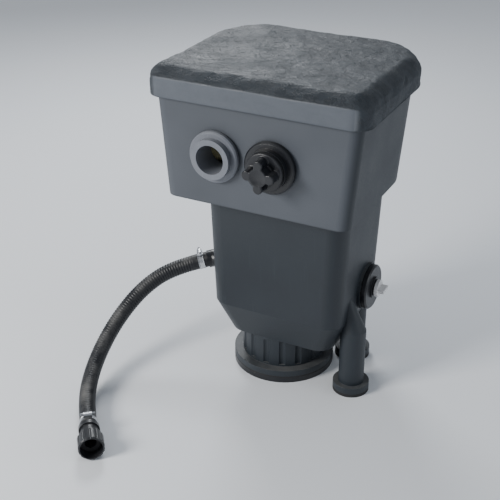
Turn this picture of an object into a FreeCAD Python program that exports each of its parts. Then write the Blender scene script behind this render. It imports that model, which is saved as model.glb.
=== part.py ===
import FreeCAD, Part
import Sketcher
import math
import os
import re

os.makedirs("parts", exist_ok=True)
doc = FreeCAD.newDocument("pond_filter")
V = FreeCAD.Vector

# ---------------------------------------------------------------------------
# Driving dimensions, in millimetres.  +Z is up, -Y is the front with the port
# panel, and the origin is on the ground under the middle of the tank.
# ---------------------------------------------------------------------------
SIZES = {
    # general
    "wall": 5, "gap": 0.3, "seat": 0.05,
    # tank: a wide upper band stands on a narrower tapered body
    "rim_height": 690, "rim_width": 446, "band_width": 404, "band_depth": 372,
    "band_front_corner": 24, "band_back_corner": 110, "step_height": 448,
    "body_middle": 15, "body_width": 320, "body_front": 130, "body_back": 160,
    "shoulder_height": 175, "shoulder_width": 304, "shoulder_front": 122, "shoulder_back": 150,
    "base_height": 100, "base_width": 244, "base_front": 98, "base_back": 122,
    "body_front_corner": 38, "body_back_corner": 84, "base_back_corner": 70, "floor_thick": 6,
    "lip_out": 8, "lip_height": 18,
    # sump neck, its cap and its screws
    "sump_x": -10, "sump_y": -4, "neck_radius": 94, "neck_wall": 12,
    "flange_radius": 114, "flange_thick": 14, "seal_thick": 3, "cap_thick": 13,
    "flute_radius": 9, "flute_depth": 4, "flute_count": 16,
    "sump_screw_circle": 106, "sump_screw_count": 8, "screw_radius": 2.5,
    "screw_head_radius": 5, "screw_head_height": 4, "screw_length": 20,
    # legs
    "front_leg_x": 178, "front_leg_y": -55, "back_leg_x": 128, "back_leg_y": 78,
    "leg_radius": 28, "leg_top": 152, "leg_tip_height": 226, "leg_tip_radius": 8, "leg_tip_in": 17,
    "foot_radius": 40, "foot_thick": 14, "foot_pad_thick": 8,
    # grate and what carries it
    "front_stud_in": 25, "front_stud_back": 23, "back_stud_in": 35, "back_stud_front": 42,
    "right_stud_in": 29, "right_stud_back": 28, "corner_stud_in": 37, "corner_stud_front": 52,
    "cap_ring_high": 8, "cap_ring_out": 12, "cap_ring_in": 18, "cap_ring_gap": 2,
    "flute_low": 4, "flute_margin": 10, "head_room": 1, "cut_over": 1,
    "grate_height": 150, "grate_thick": 10, "stud_radius": 8, "grate_margin": 9,
    "slot_width": 7, "slot_pitch": 15, "slot_turn": 32, "grate_rim": 11, "grate_corner_in": 8,
    "socket_play": 1, "nut_room": 4, "nut_face_room": 3, "keep_out": 4,
    "socket_height": 10, "socket_wall": 4,
    # two-inch ports
    "port_height": 556, "port_left": 82, "port_right": 40,
    "outlet_x": 38, "outlet_height": 600,
    "pipe_radius": 30.25, "spigot_radius": 36, "spigot_reach": 30,
    "port_flange_radius": 54, "port_flange_thick": 10, "hub_radius": 42, "hub_length": 14,
    "flange_chamfer": 3, "edge_in": 1, "port_hub_out": 4, "inlet_hub_out": 8,
    "gasket_in": 2, "gasket_thick": 3, "nut_radius": 52, "nut_thick": 16,
    # side fittings on their flat pads
    "side_height": 216, "inlet_y": -10, "drain_y": 30, "pad_radius": 52,
    "pad_face": 160, "pad_back": 142, "side_bore": 14, "side_spigot_radius": 24,
    "side_spigot_reach": 19, "inlet_flange_radius": 42, "drain_flange_radius": 50,
    "side_flange_thick": 10, "side_nut_radius": 36, "side_nut_thick": 13,
    # port plug and drain plug
    "plug_depth": 22, "plug_flange_radius": 40, "plug_flange_thick": 6, "oring_thick": 3,
    "knob_lobe_count": 4, "knob_radius": 19, "knob_lobe_radius": 10, "knob_lobe_circle": 24,
    "knob_height": 26,
    "drain_head_radius": 19, "drain_head_height": 14, "drain_wing": 30, "drain_wing_thick": 7,
    # elbow inside the back wall
    "elbow_radius": 34, "elbow_reach": 115, "elbow_drop": 72,
    # column
    "column_x": 74, "column_y": 5, "collar_radius": 56, "collar_height": 36, "collar_foot": 12,
    "collar_step": 5, "window_in": 3, "mouth_over": 10,
    "disc_radius": 52, "disc_thick": 6, "disc_count": 5, "core_radius": 15,
    "mat_radius": 16, "mat_circle": 34, "mat_count": 6, "column_top": 515,
    # media, foam pad and hold-down posts
    "media_bottom": 172, "media_low_half": 112, "media_low_front": 100, "media_low_back": 118,
    "media_half": 145, "media_front": 116, "media_back": 146, "media_corner": 30,
    "media_back_corner": 62, "channel_gap": 4, "elbow_gap": 4,
    "foam_thick": 42, "foam_half": 196, "foam_front": 158, "foam_back": 160,
    "foam_corner": 22, "foam_back_corner": 96, "scallop_radius": 60,
    "post_x": 125, "post_y": 76, "post_radius": 10, "tip_radius": 13, "tip_height": 16,
    "peg_radius": 6, "peg_length": 30, "post_top": 712,
    # lid
    "lid_gap": 2, "lid_wall": 5, "lid_skirt": 28, "lid_seal_thick": 2.5, "lid_edge": 12,
    "lid_crown": 22, "crown_inset": 34, "lid_top_wall": 8, "seal_width": 24,
    # hose and coupling
    "hose_radius": 18, "hose_bore": 15.5, "barb_reach": 44, "barb_collar_radius": 20,
    "barb_collar_length": 14, "barb_length": 32, "barb_bore": 12,
    "clamp_width": 13, "clamp_thick": 1.2, "clamp_from_end": 9,
    "clamp_box_half": 9, "clamp_box_high": 9, "clamp_screw_up": 5, "clamp_screw_radius": 3.6,
    "clamp_screw_half": 16, "coupling_flare": 3, "washer_thick": 3, "nut_chamfer": 2,
    "grip_out": 1.4, "grip_radius": 3, "grip_count": 12,
    "coupling_collar": 12, "coupling_radius": 19, "coupling_length": 46,
    "coupling_lip": 5, "coupling_lip_radius": 22.4, "union_radius": 27,
    "union_bore": 23, "union_back": 8, "union_length": 38,
}

sheet = doc.addObject("Spreadsheet::Sheet", "Sizes")
for row, (alias, number) in enumerate(SIZES.items(), start=1):
    sheet.set("A%d" % row, alias)
    sheet.set("B%d" % row, str(number))
    sheet.setAlias("B%d" % row, alias)
doc.recompute()

# Half the hose route's turn and the runs set each bend, so the route is a list
# of points: out of the barb, down beside the tank, then along the ground.
HOSE_ROUTE = [
    (-200.6, -17.3, 213.1), (-267.0, -58.8, 196.0), (-315.3, -118.4, 160.5),
    (-341.7, -190.9, 108.5), (-344.4, -268.0, 60.0), (-322.4, -344.8, 30.0),
    (-280.2, -412.4, 20.5), (-236.1, -466.8, 25.0),
]
BEND_SHARE = 0.45

FRONT = FreeCAD.Rotation(V(1, 0, 0), 90)
BACK = FreeCAD.Rotation(V(1, 0, 0), -90)
RIGHT = FreeCAD.Rotation(V(0, 1, 0), 90)
LEFT = FreeCAD.Rotation(V(0, 1, 0), -90)
UP = FreeCAD.Rotation()

sub_parts = []


# ---------------------------------------------------------------------------
# Ways of building: every number in them is an expression of sheet names.
# ---------------------------------------------------------------------------
def formula(text):
    """The same expression with each size written as the sheet's own cell."""
    return re.sub(r"[a-z][a-z_]+", lambda word: "Sizes." + word.group()
                  if word.group() in SIZES else word.group(), text)


def worth(text):
    """The number that an expression of sizes has now."""
    sheet.set("D1", "=" + text)
    sheet.recompute()
    found = sheet.get("D1")
    return float(getattr(found, "Value", found))


def bind(thing, place, text):
    thing.setExpression(place, formula(text))


def keep(thing, label):
    """Give a finished sub-part its name and list it for export."""
    thing.Label = label
    sub_parts.append(thing)
    return thing


def put(thing, x="0", y="0", z="0", turn=UP):
    """Stand a finished sub-part at a place, turned so that its own Z points outwards."""
    thing.Placement = FreeCAD.Placement(V(worth(x), worth(y), worth(z)), turn)
    for axis, text in (("x", x), ("y", y), ("z", z)):
        bind(thing, "Placement.Base." + axis, text)


def new_body(name):
    return doc.addObject("PartDesign::Body", name)


def new_sketch(body, name, role="XY_Plane", offset="0"):
    sketch = body.newObject("Sketcher::SketchObject", name)
    plane = [part for part in body.Origin.OriginFeatures if part.Role == role][0]
    sketch.AttachmentSupport = [(plane, "")]
    sketch.MapMode = "FlatFace"
    bind(sketch, ".AttachmentOffset.Base.z", offset)
    return sketch


def hold(sketch, kind, items, text):
    """Add a constraint whose value is an expression of sizes."""
    index = sketch.addConstraint(Sketcher.Constraint(kind, *items, worth(text)))
    bind(sketch, "Constraints[%d]" % index, text)


def add_outline(sketch, points):
    """A closed outline of straight lines, each corner held by its two distances."""
    corners = [V(worth(x), worth(y), 0) for x, y in points]
    first = sketch.GeometryCount
    count = len(points)
    for i in range(count):
        sketch.addGeometry(Part.LineSegment(corners[i], corners[(i + 1) % count]))
    for i in range(count):
        after = first + (i + 1) % count
        sketch.addConstraint(Sketcher.Constraint("Coincident", first + i, 2, after, 1))
    for i, (x, y) in enumerate(points):
        hold(sketch, "DistanceX", (-1, 1, first + i, 1), x)
        hold(sketch, "DistanceY", (-1, 1, first + i, 1), y)


def add_circle(sketch, x, y, radius):
    index = sketch.addGeometry(Part.Circle(V(worth(x), worth(y), 0), V(0, 0, 1), worth(radius)))
    hold(sketch, "DistanceX", (-1, 1, index, 3), x)
    hold(sketch, "DistanceY", (-1, 1, index, 3), y)
    hold(sketch, "Radius", (index,), radius)


def add_d_shape(sketch, half, front, back, front_corner, back_corner, middle="0"):
    """The tank's plan: a straight front with small corners and a back with large ones."""
    w, f, b = worth(half), worth(front), worth(back)
    rf, rb = worth(front_corner), worth(back_corner)
    m, quarter = worth(middle), math.pi / 2
    sides = [((m - w + rf, -f), (m + w - rf, -f)), ((m + w, -f + rf), (m + w, b - rb)),
             ((m + w - rb, b), (m - w + rb, b)), ((m - w, b - rb), (m - w, -f + rf))]
    corners = [(m + w - rf, -f + rf, rf, -1), (m + w - rb, b - rb, rb, 0),
               (m - w + rb, b - rb, rb, 1), (m - w + rf, -f + rf, rf, 2)]
    for (start, end), (x, y, radius, step) in zip(sides, corners):
        sketch.addGeometry(Part.LineSegment(V(*start, 0), V(*end, 0)))
        circle = Part.Circle(V(x, y, 0), V(0, 0, 1), radius)
        sketch.addGeometry(Part.ArcOfCircle(circle, step * quarter, (step + 1) * quarter))
    for i in range(8):
        sketch.addConstraint(Sketcher.Constraint("Tangent", i, 2, (i + 1) % 8, 1))
    for line, way in ((0, "Horizontal"), (2, "Vertical"), (4, "Horizontal"), (6, "Vertical")):
        sketch.addConstraint(Sketcher.Constraint(way, line))
    for arc, radius in ((1, front_corner), (3, back_corner), (5, back_corner), (7, front_corner)):
        hold(sketch, "Radius", (arc,), radius)
    hold(sketch, "DistanceY", (-1, 1, 0, 1), "-(%s)" % front)
    hold(sketch, "DistanceX", (-1, 1, 2, 1), "%s + %s" % (middle, half))
    hold(sketch, "DistanceY", (-1, 1, 4, 1), back)
    hold(sketch, "DistanceX", (-1, 1, 6, 1), "%s - (%s)" % (middle, half))


def pad(body, sketch, length, name):
    feature = body.newObject("PartDesign::Pad", name)
    feature.Profile = sketch
    bind(feature, "Length", length)
    return feature


def pocket(body, sketch, length, name):
    """Cut upwards from the sketch's plane."""
    feature = body.newObject("PartDesign::Pocket", name)
    feature.Profile = sketch
    feature.Reversed = True
    bind(feature, "Length", length)
    return feature


def loft(body, lower, upper, name, cut=False):
    kind = "PartDesign::SubtractiveLoft" if cut else "PartDesign::AdditiveLoft"
    feature = body.newObject(kind, name)
    feature.Profile = lower
    feature.Sections = [upper]
    feature.Ruled = True
    return feature


def ring_of(body, feature, count, name):
    """Repeat a feature round the body's own Z axis."""
    pattern = body.newObject("PartDesign::PolarPattern", name)
    pattern.Originals = [feature]
    axis = [part for part in body.Origin.OriginFeatures if part.Role == "Z_Axis"][0]
    pattern.Axis = (axis, [""])
    pattern.Angle = 360
    bind(pattern, "Occurrences", count)
    body.Tip = pattern
    return pattern


def turned(name, points):
    """A turned piece: an outline of (radius, height) swung round the body's own Z axis."""
    body = new_body(name)
    sketch = new_sketch(body, name + "_profile", "XZ_Plane")
    add_outline(sketch, points)
    feature = body.newObject("PartDesign::Revolution", name + "_turn")
    feature.Profile = sketch
    feature.ReferenceAxis = (sketch, ["V_Axis"])
    feature.Angle = 360
    return keep(body, name)


def tube(name, inner, outer, low, high):
    return turned(name, [(inner, low), (outer, low), (outer, high), (inner, high)])


def octagon_nut(name, bore, radius, low, thick):
    """A moulded back nut: eight flats round a plain bore."""
    body = new_body(name)
    sketch = new_sketch(body, name + "_plan", offset=low)
    reach = worth(radius)
    spots = [V(reach * math.cos(math.radians(45 * i + 22.5)),
               reach * math.sin(math.radians(45 * i + 22.5)), 0) for i in range(8)]
    for i in range(8):
        sketch.addGeometry(Part.LineSegment(spots[i], spots[(i + 1) % 8]))
    round_it = sketch.addGeometry(Part.Circle(V(0, 0, 0), V(0, 0, 1), reach), True)
    sketch.addConstraint(Sketcher.Constraint("Coincident", round_it, 3, -1, 1))
    for i in range(8):
        sketch.addConstraint(Sketcher.Constraint("Coincident", i, 2, (i + 1) % 8, 1))
        sketch.addConstraint(Sketcher.Constraint("PointOnObject", i, 1, round_it))
    for i in range(1, 8):
        sketch.addConstraint(Sketcher.Constraint("Equal", 0, i))
    sketch.addConstraint(Sketcher.Constraint("Vertical", 7))
    hold(sketch, "Radius", (round_it,), radius)
    add_circle(sketch, "0", "0", bore)
    pad(body, sketch, thick, name + "_pad")
    return keep(body, name)


def primitive(kind, name, x="0", y="0", z="0", turn=UP, **sizes):
    solid = doc.addObject("Part::" + kind, name)
    for place, text in sizes.items():
        bind(solid, place, text)
    put(solid, x, y, z, turn)
    return solid


def joined(kind, name, pieces):
    """Part booleans of several pieces: MultiFuse or MultiCommon."""
    result = doc.addObject("Part::" + kind, name)
    result.Shapes = pieces
    return result


def cut_from(name, base, tool):
    result = doc.addObject("Part::Cut", name)
    result.Base = base
    result.Tool = tool
    return result


# ---------------------------------------------------------------------------
# Tank shell: one rotationally moulded piece.
# ---------------------------------------------------------------------------
tank = new_body("tank_shell")


def tank_loft(name, low, high, inset, cut=False):
    """Loft between two D-shaped levels, each (height, half, front, back, corners, middle)."""
    levels = []
    for side, (height, *reaches, middle) in (("low", low), ("high", high)):
        sketch = new_sketch(tank, name + "_" + side, offset=height)
        add_d_shape(sketch, *[reach + inset for reach in reaches], middle)
        levels.append(sketch)
    return loft(tank, levels[0], levels[1], name, cut)


body_corners = ("body_front_corner", "body_back_corner", "body_middle")
band_corners = ("band_front_corner", "band_back_corner", "0")
base_level = ("base_height", "base_width / 2", "base_front", "base_back",
              "body_front_corner", "base_back_corner", "body_middle")
shoulder_level = ("shoulder_height", "shoulder_width / 2", "shoulder_front",
                  "shoulder_back") + body_corners
body_level = ("step_height", "body_width / 2", "body_front", "body_back") + body_corners
band_level = ("step_height", "band_width / 2", "band_depth / 2", "band_depth / 2") + band_corners
rim_level = ("rim_height", "rim_width / 2", "band_depth / 2", "band_depth / 2") + band_corners

tank_loft("shoulder", base_level, shoulder_level, "")
tank_loft("lower_body", shoulder_level, body_level, "")
tank_loft("upper_band", band_level, rim_level, "")

lip_plan = new_sketch(tank, "lip_plan", offset="rim_height - lip_height")
add_d_shape(lip_plan, "rim_width / 2 + lip_out", "band_depth / 2 + lip_out",
            "band_depth / 2 + lip_out", "band_front_corner + lip_out", "band_back_corner + lip_out")
pad(tank, lip_plan, "lip_height", "lip")

flange_low = "cap_thick + seal_thick"
neck_plan = new_sketch(tank, "neck_plan", offset=flange_low)
add_circle(neck_plan, "sump_x", "sump_y", "neck_radius")
pad(tank, neck_plan, "base_height - cap_thick - seal_thick + floor_thick", "neck")
flange_plan = new_sketch(tank, "flange_plan", offset=flange_low)
add_circle(flange_plan, "sump_x", "sump_y", "flange_radius")
pad(tank, flange_plan, "flange_thick", "neck_flange")

for side in ("front", "back"):
    plan = new_sketch(tank, "leg_plan_" + side, offset="foot_pad_thick")
    add_circle(plan, side + "_leg_x", side + "_leg_y", "leg_radius")
    pad(tank, plan, "leg_top - foot_pad_thick", "leg_" + side)
    plan = new_sketch(tank, "foot_plan_" + side, offset="foot_pad_thick")
    add_circle(plan, side + "_leg_x", side + "_leg_y", "foot_radius")
    pad(tank, plan, "foot_thick", "foot_" + side)
    plan = new_sketch(tank, "leg_top_plan_" + side, offset="leg_top")
    add_circle(plan, side + "_leg_x", side + "_leg_y", "leg_radius")
    tip_plan = new_sketch(tank, "leg_tip_plan_" + side, offset="leg_tip_height")
    add_circle(tip_plan, side + "_leg_x - leg_tip_in", side + "_leg_y", "leg_tip_radius")
    loft(tank, plan, tip_plan, "leg_gusset_" + side)

inner_base = ("base_height + floor_thick",) + base_level[1:]
tank_loft("shoulder_hollow", inner_base, shoulder_level, " - wall", True)
tank_loft("lower_hollow", shoulder_level, ("step_height + wall",) + body_level[1:], " - wall", True)
inner_band = ("step_height + wall",) + band_level[1:]
tank_loft("upper_hollow", inner_band, rim_level, " - wall", True)

bore_plan = new_sketch(tank, "neck_bore_plan")
add_circle(bore_plan, "sump_x", "sump_y", "neck_radius - neck_wall")
pocket(tank, bore_plan, "grate_height", "neck_bore")

stud_spots = [("body_middle %s (base_width / 2 - %s)" % (sign, inset), way)
              for sign, inset, way in (("-", "front_stud_in", "-base_front + front_stud_back"),
                                       ("-", "back_stud_in", "base_back - back_stud_front"),
                                       ("+", "right_stud_in", "-base_front + right_stud_back"),
                                       ("+", "corner_stud_in", "base_back - corner_stud_front"))]
for number, (stud_x, stud_y) in enumerate(stud_spots, start=1):
    plan = new_sketch(tank, "stud_plan_%d" % number, offset="base_height + floor_thick / 2")
    add_circle(plan, stud_x, stud_y, "stud_radius")
    pad(tank, plan, "grate_height - base_height - floor_thick / 2", "stud_%d" % number)

for side, centre_y, start in (("right", "drain_y", "body_middle + pad_back"),
                              ("left", "inlet_y", "body_middle - pad_face")):
    plan = new_sketch(tank, "pad_plan_" + side, "YZ_Plane", start)
    add_circle(plan, centre_y, "side_height", "pad_radius")
    pad(tank, plan, "pad_face - pad_back", "fitting_pad_" + side)
    plan = new_sketch(tank, "side_hole_plan_" + side, "YZ_Plane", start)
    add_circle(plan, centre_y, "side_height", "side_spigot_radius + gap")
    pocket(tank, plan, "pad_face - pad_back", "side_hole_" + side)

front_holes = new_sketch(tank, "front_hole_plan", "XZ_Plane", "band_depth / 2 - wall - cut_over")
for port_x in ("-port_left", "port_right"):
    add_circle(front_holes, port_x, "port_height", "spigot_radius + gap")
pocket(tank, front_holes, "wall + 2 * cut_over", "front_holes")
back_hole = new_sketch(tank, "back_hole_plan", "XZ_Plane", "-band_depth / 2 - cut_over")
add_circle(back_hole, "outlet_x", "outlet_height", "spigot_radius + gap")
pocket(tank, back_hole, "wall + 2 * cut_over", "back_hole")

screw_plan = new_sketch(tank, "screw_hole_plan", offset=flange_low)
for i in range(SIZES["sump_screw_count"]):
    turn = "(%d * 360 / sump_screw_count)" % i
    add_circle(screw_plan, "sump_x + sump_screw_circle * cos(%s)" % turn,
               "sump_y + sump_screw_circle * sin(%s)" % turn, "screw_radius + seat")
pocket(tank, screw_plan, "screw_length - cap_thick", "screw_holes")

flute_plan = new_sketch(tank, "flute_plan", offset="cap_thick + seal_thick + flange_thick + flute_low")
for i in range(SIZES["flute_count"]):
    turn = "(%d * 360 / flute_count)" % i
    away = "(neck_radius + flute_radius - flute_depth)"
    add_circle(flute_plan, "sump_x + %s * cos(%s)" % (away, turn),
               "sump_y + %s * sin(%s)" % (away, turn), "flute_radius")
pocket(tank, flute_plan, "base_height - cap_thick - seal_thick - flange_thick - flute_margin", "flutes")
keep(tank, "tank_shell")

# ---------------------------------------------------------------------------
# Sump cap under the neck, its seal and screws, and the rubber pads under the legs.
# ---------------------------------------------------------------------------
cap = turned("sump_cap", [("0", "0"), ("flange_radius", "0"), ("flange_radius", "cap_thick"),
                          ("neck_radius - neck_wall - cap_ring_gap", "cap_thick"),
                          ("neck_radius - neck_wall - cap_ring_gap", "cap_thick + cap_ring_high"),
                          ("neck_radius - neck_wall - cap_ring_out", "cap_thick + cap_ring_high"),
                          ("neck_radius - neck_wall - cap_ring_in", "cap_thick"), ("0", "cap_thick")])
put(cap, "sump_x", "sump_y")
for name, radius, depth in (("head_seats", "screw_head_radius + seat", "screw_head_height + head_room"),
                            ("shank_holes", "screw_radius + seat", "cap_thick")):
    plan = new_sketch(cap, name + "_plan")
    add_circle(plan, "sump_screw_circle", "0", radius)
    hole = pocket(cap, plan, depth, name)
    ring_of(cap, hole, "sump_screw_count", name + "_ring")

seal = tube("sump_seal", "neck_radius - neck_wall", "flange_radius", "cap_thick", "cap_thick + seal_thick")
put(seal, "sump_x", "sump_y")
seal_holes = new_sketch(seal, "seal_hole_plan", offset="cap_thick")
add_circle(seal_holes, "sump_screw_circle", "0", "screw_radius + seat")
ring_of(seal, pocket(seal, seal_holes, "seal_thick", "seal_hole"), "sump_screw_count", "seal_hole_ring")

screws = new_body("sump_screws")
head_plan = new_sketch(screws, "head_plan", offset="head_room")
shank_plan = new_sketch(screws, "shank_plan", offset="head_room")
for i in range(SIZES["sump_screw_count"]):
    turn = "(%d * 360 / sump_screw_count)" % i
    spot = ("sump_screw_circle * cos(%s)" % turn, "sump_screw_circle * sin(%s)" % turn)
    add_circle(head_plan, *spot, "screw_head_radius")
    add_circle(shank_plan, *spot, "screw_radius")
screws.AllowCompound = True
pad(screws, head_plan, "screw_head_height", "heads")
pad(screws, shank_plan, "screw_length", "shanks")
put(keep(screws, "sump_screws"), "sump_x", "sump_y")

pads = new_body("foot_pads")
pads.AllowCompound = True
pad_plan = new_sketch(pads, "pads_plan")
add_circle(pad_plan, "front_leg_x", "front_leg_y", "foot_radius")
add_circle(pad_plan, "back_leg_x", "back_leg_y", "foot_radius")
pad(pads, pad_plan, "foot_pad_thick", "pads")
keep(pads, "foot_pads")


# ---------------------------------------------------------------------------
# Bulkhead fittings.  Each stands with its own Z pointing out of the tank and its
# zero on the wall's outer face: flange and gasket outside, nut inside.
# ---------------------------------------------------------------------------
def bulkhead(name, place, turn, bore, spigot, reach, flange, thick, hub, hub_length, through,
             nut_radius, nut_thick):
    inner_end = "-(%s) - (%s)" % (through, reach)
    face = "gasket_thick + %s" % thick
    top = face + " + " + hub_length
    fitting = turned(name + "_bulkhead", [
        (bore, inner_end), (spigot, inner_end), (spigot, "gasket_thick"),
        (flange, "gasket_thick"), (flange, face + " - flange_chamfer"), (flange + " - flange_chamfer", face),
        (hub, face), (hub, top), (bore, top)])
    gasket = tube(name + "_gasket", spigot + " + gap", flange + " - gasket_in", "0", "gasket_thick")
    nut = octagon_nut(name + "_nut", spigot + " + seat", nut_radius,
                      "-(%s) - %s" % (through, nut_thick), nut_thick)
    for piece in (fitting, gasket, nut):
        put(piece, *place, turn)


PORT = ("pipe_radius", "spigot_radius", "spigot_reach", "port_flange_radius", "port_flange_thick",
        "hub_radius", "hub_length", "wall", "nut_radius", "nut_thick")
left_port = ("-port_left", "-band_depth / 2", "port_height")
right_port = ("port_right", "-band_depth / 2", "port_height")
outlet_port = ("outlet_x", "band_depth / 2", "outlet_height")
bulkhead("discharge", left_port, FRONT, *PORT)
bulkhead("plugged_port", right_port, FRONT, *PORT)
bulkhead("outlet", outlet_port, BACK, *PORT)

SIDE = ("side_bore", "side_spigot_radius", "side_spigot_reach")
SIDE_NUT = ("pad_face - pad_back", "side_nut_radius", "side_nut_thick")
inlet_spot = ("body_middle - pad_face", "inlet_y", "side_height")
drain_spot = ("body_middle + pad_face", "drain_y", "side_height")
bulkhead("inlet", inlet_spot, LEFT, *SIDE, "inlet_flange_radius", "side_flange_thick",
         "side_spigot_radius", "inlet_hub_out", *SIDE_NUT)
bulkhead("drain", drain_spot, RIGHT, *SIDE, "drain_flange_radius", "side_flange_thick",
         "side_spigot_radius", "port_hub_out", *SIDE_NUT)

# ---------------------------------------------------------------------------
# Screwed port plug: a lobed knob on a spigot, with a sealing ring under its flange.
# ---------------------------------------------------------------------------
hub_top = "gasket_thick + port_flange_thick + hub_length"
ring = tube("port_plug_ring", "pipe_radius - gap", "plug_flange_radius - edge_in",
            hub_top, hub_top + " + oring_thick")
put(ring, *right_port, FRONT)
seat_top = hub_top + " + oring_thick"
plug = turned("port_plug", [
    ("0", hub_top + " - plug_depth"), ("pipe_radius - 2 * gap", hub_top + " - plug_depth"),
    ("pipe_radius - 2 * gap", seat_top), ("plug_flange_radius", seat_top),
    ("plug_flange_radius", seat_top + " + plug_flange_thick"),
    ("knob_radius", seat_top + " + plug_flange_thick"),
    ("knob_radius", seat_top + " + plug_flange_thick + knob_height"),
    ("0", seat_top + " + plug_flange_thick + knob_height")])
lobe_plan = new_sketch(plug, "lobe_plan", offset=seat_top + " + plug_flange_thick")
add_circle(lobe_plan, "knob_lobe_circle", "0", "knob_lobe_radius")
ring_of(plug, pad(plug, lobe_plan, "knob_height", "lobe"), "knob_lobe_count", "lobes")
put(plug, *right_port, FRONT)

# ---------------------------------------------------------------------------
# Drain plug with a finger wing, and its sealing ring.
# ---------------------------------------------------------------------------
drain_top = "gasket_thick + side_flange_thick + port_hub_out"
drain_seat = drain_top + " + oring_thick"
ring = tube("drain_plug_ring", "side_bore - gap", "drain_head_radius - edge_in", drain_top, drain_seat)
put(ring, *drain_spot, RIGHT)
drain_plug = turned("drain_plug", [
    ("0", drain_top + " - plug_depth"), ("side_bore - 2 * gap", drain_top + " - plug_depth"),
    ("side_bore - 2 * gap", drain_seat), ("drain_head_radius", drain_seat),
    ("drain_head_radius", drain_seat + " + drain_head_height / 2"),
    ("0", drain_seat + " + drain_head_height / 2")])
wing_plan = new_sketch(drain_plug, "wing_plan", offset=drain_seat + " + drain_head_height / 2")
add_outline(wing_plan, [("-drain_wing_thick / 2", "-drain_wing / 2"),
                        ("drain_wing_thick / 2", "-drain_wing / 2"),
                        ("drain_wing_thick / 2", "drain_wing / 2"),
                        ("-drain_wing_thick / 2", "drain_wing / 2")])
pad(drain_plug, wing_plan, "drain_head_height", "wing")
put(drain_plug, *drain_spot, RIGHT)

# ---------------------------------------------------------------------------
# White elbow inside the back wall: it takes water from above the foam pad.
# ---------------------------------------------------------------------------
socket_y = "band_depth / 2 - wall - spigot_reach"
elbow_outside = joined("MultiFuse", "elbow_outside", [
    primitive("Cylinder", "elbow_level_leg", "outlet_x", socket_y, "outlet_height", FRONT,
              Radius="elbow_radius", Height=socket_y + " - elbow_reach"),
    primitive("Cylinder", "elbow_down_leg", "outlet_x", "elbow_reach", "outlet_height - elbow_drop",
              Radius="elbow_radius", Height="elbow_drop"),
    primitive("Sphere", "elbow_corner", "outlet_x", "elbow_reach", "outlet_height",
              Radius="elbow_radius")])
elbow_inside = joined("MultiFuse", "elbow_inside", [
    primitive("Cylinder", "elbow_level_bore", "outlet_x", socket_y, "outlet_height", FRONT,
              Radius="elbow_radius - wall", Height=socket_y + " - elbow_reach"),
    primitive("Cylinder", "elbow_down_bore", "outlet_x", "elbow_reach", "outlet_height - elbow_drop",
              Radius="elbow_radius - wall", Height="elbow_drop"),
    primitive("Sphere", "elbow_corner_bore", "outlet_x", "elbow_reach", "outlet_height",
              Radius="elbow_radius - wall")])
keep(cut_from("outlet_elbow", elbow_outside, elbow_inside), "outlet_elbow")

# ---------------------------------------------------------------------------
# Grate: a slotted D-shaped plate on four studs.  Notches in its edge let it
# pass the nuts and the elbow above it when it is lifted out.
# ---------------------------------------------------------------------------
grate = new_body("grate_plate")
grate_plan = new_sketch(grate, "grate_plan", offset="grate_height")
rise = "(grate_height - base_height) / (shoulder_height - base_height)"
slope = "%s + (%s - %s) * " + rise + " - wall - grate_margin"
GRATE_REACH = [slope % (low, high, low) for low, high in (
    ("base_width / 2", "shoulder_width / 2"), ("base_front", "shoulder_front"),
    ("base_back", "shoulder_back"))]
GRATE_CORNERS = ("body_front_corner - grate_corner_in", "base_back_corner")
add_d_shape(grate_plan, *GRATE_REACH, *GRATE_CORNERS, "body_middle")
pad(grate, grate_plan, "grate_thick", "grate_blank")
socket_plan = new_sketch(grate, "socket_plan", offset="grate_height")
add_circle(socket_plan, "column_x", "column_y", "collar_radius + 1 + socket_wall")
pad(grate, socket_plan, "grate_thick + socket_height", "socket_ring")
socket_bore = new_sketch(grate, "socket_bore_plan", offset="grate_height + grate_thick")
add_circle(socket_bore, "column_x", "column_y", "collar_radius + socket_play")
pocket(grate, socket_bore, "socket_height", "socket_bore")
notches = new_sketch(grate, "notch_plan", offset="grate_height")
nut_clear = "pad_back - side_spigot_reach - nut_face_room"
for inner_x, outer_x, centre in (
        ("body_middle - (%s)" % nut_clear, "body_middle - pad_face", "inlet_y"),
        ("body_middle + " + nut_clear, "body_middle + pad_face", "drain_y")):
    low, high = centre + " - side_nut_radius - nut_room", centre + " + side_nut_radius + nut_room"
    add_outline(notches, [(inner_x, low), (outer_x, low), (outer_x, high), (inner_x, high)])
elbow_side = "(elbow_radius + elbow_gap)"
RECESS = [("outlet_x - " + elbow_side, "elbow_reach - " + elbow_side),
          ("outlet_x + " + elbow_side, "elbow_reach - " + elbow_side),
          ("outlet_x + " + elbow_side, "band_depth / 2"), ("outlet_x - " + elbow_side, "band_depth / 2")]
add_outline(notches, RECESS)
pocket(grate, notches, "grate_thick + socket_height", "notches")

# The slots run aslant, inside a plain rim, and stop short of the column's socket.
slot_field = new_body("slot_field")
field_plan = new_sketch(slot_field, "field_plan", offset="grate_height")
add_d_shape(field_plan, *[reach + " - grate_rim" for reach in GRATE_REACH + list(GRATE_CORNERS)],
            "body_middle")
pad(slot_field, field_plan, "grate_thick", "field")
socket_keep = new_sketch(slot_field, "socket_keep_plan", offset="grate_height")
add_circle(socket_keep, "column_x", "column_y", "collar_radius + socket_wall + keep_out")
pocket(slot_field, socket_keep, "grate_thick", "socket_keep")
edge_keep = new_sketch(slot_field, "edge_keep_plan", offset="grate_height")
for outer_x, way, centre in (("body_middle - pad_face", "-", "inlet_y"),
                             ("body_middle + pad_face", "+", "drain_y")):
    inner_x = "body_middle %s (%s - grate_rim)" % (way, nut_clear)
    low = centre + " - side_nut_radius - 4 - grate_rim"
    high = centre + " + side_nut_radius + 4 + grate_rim"
    add_outline(edge_keep, [(inner_x, low), (outer_x, low), (outer_x, high), (inner_x, high)])
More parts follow.
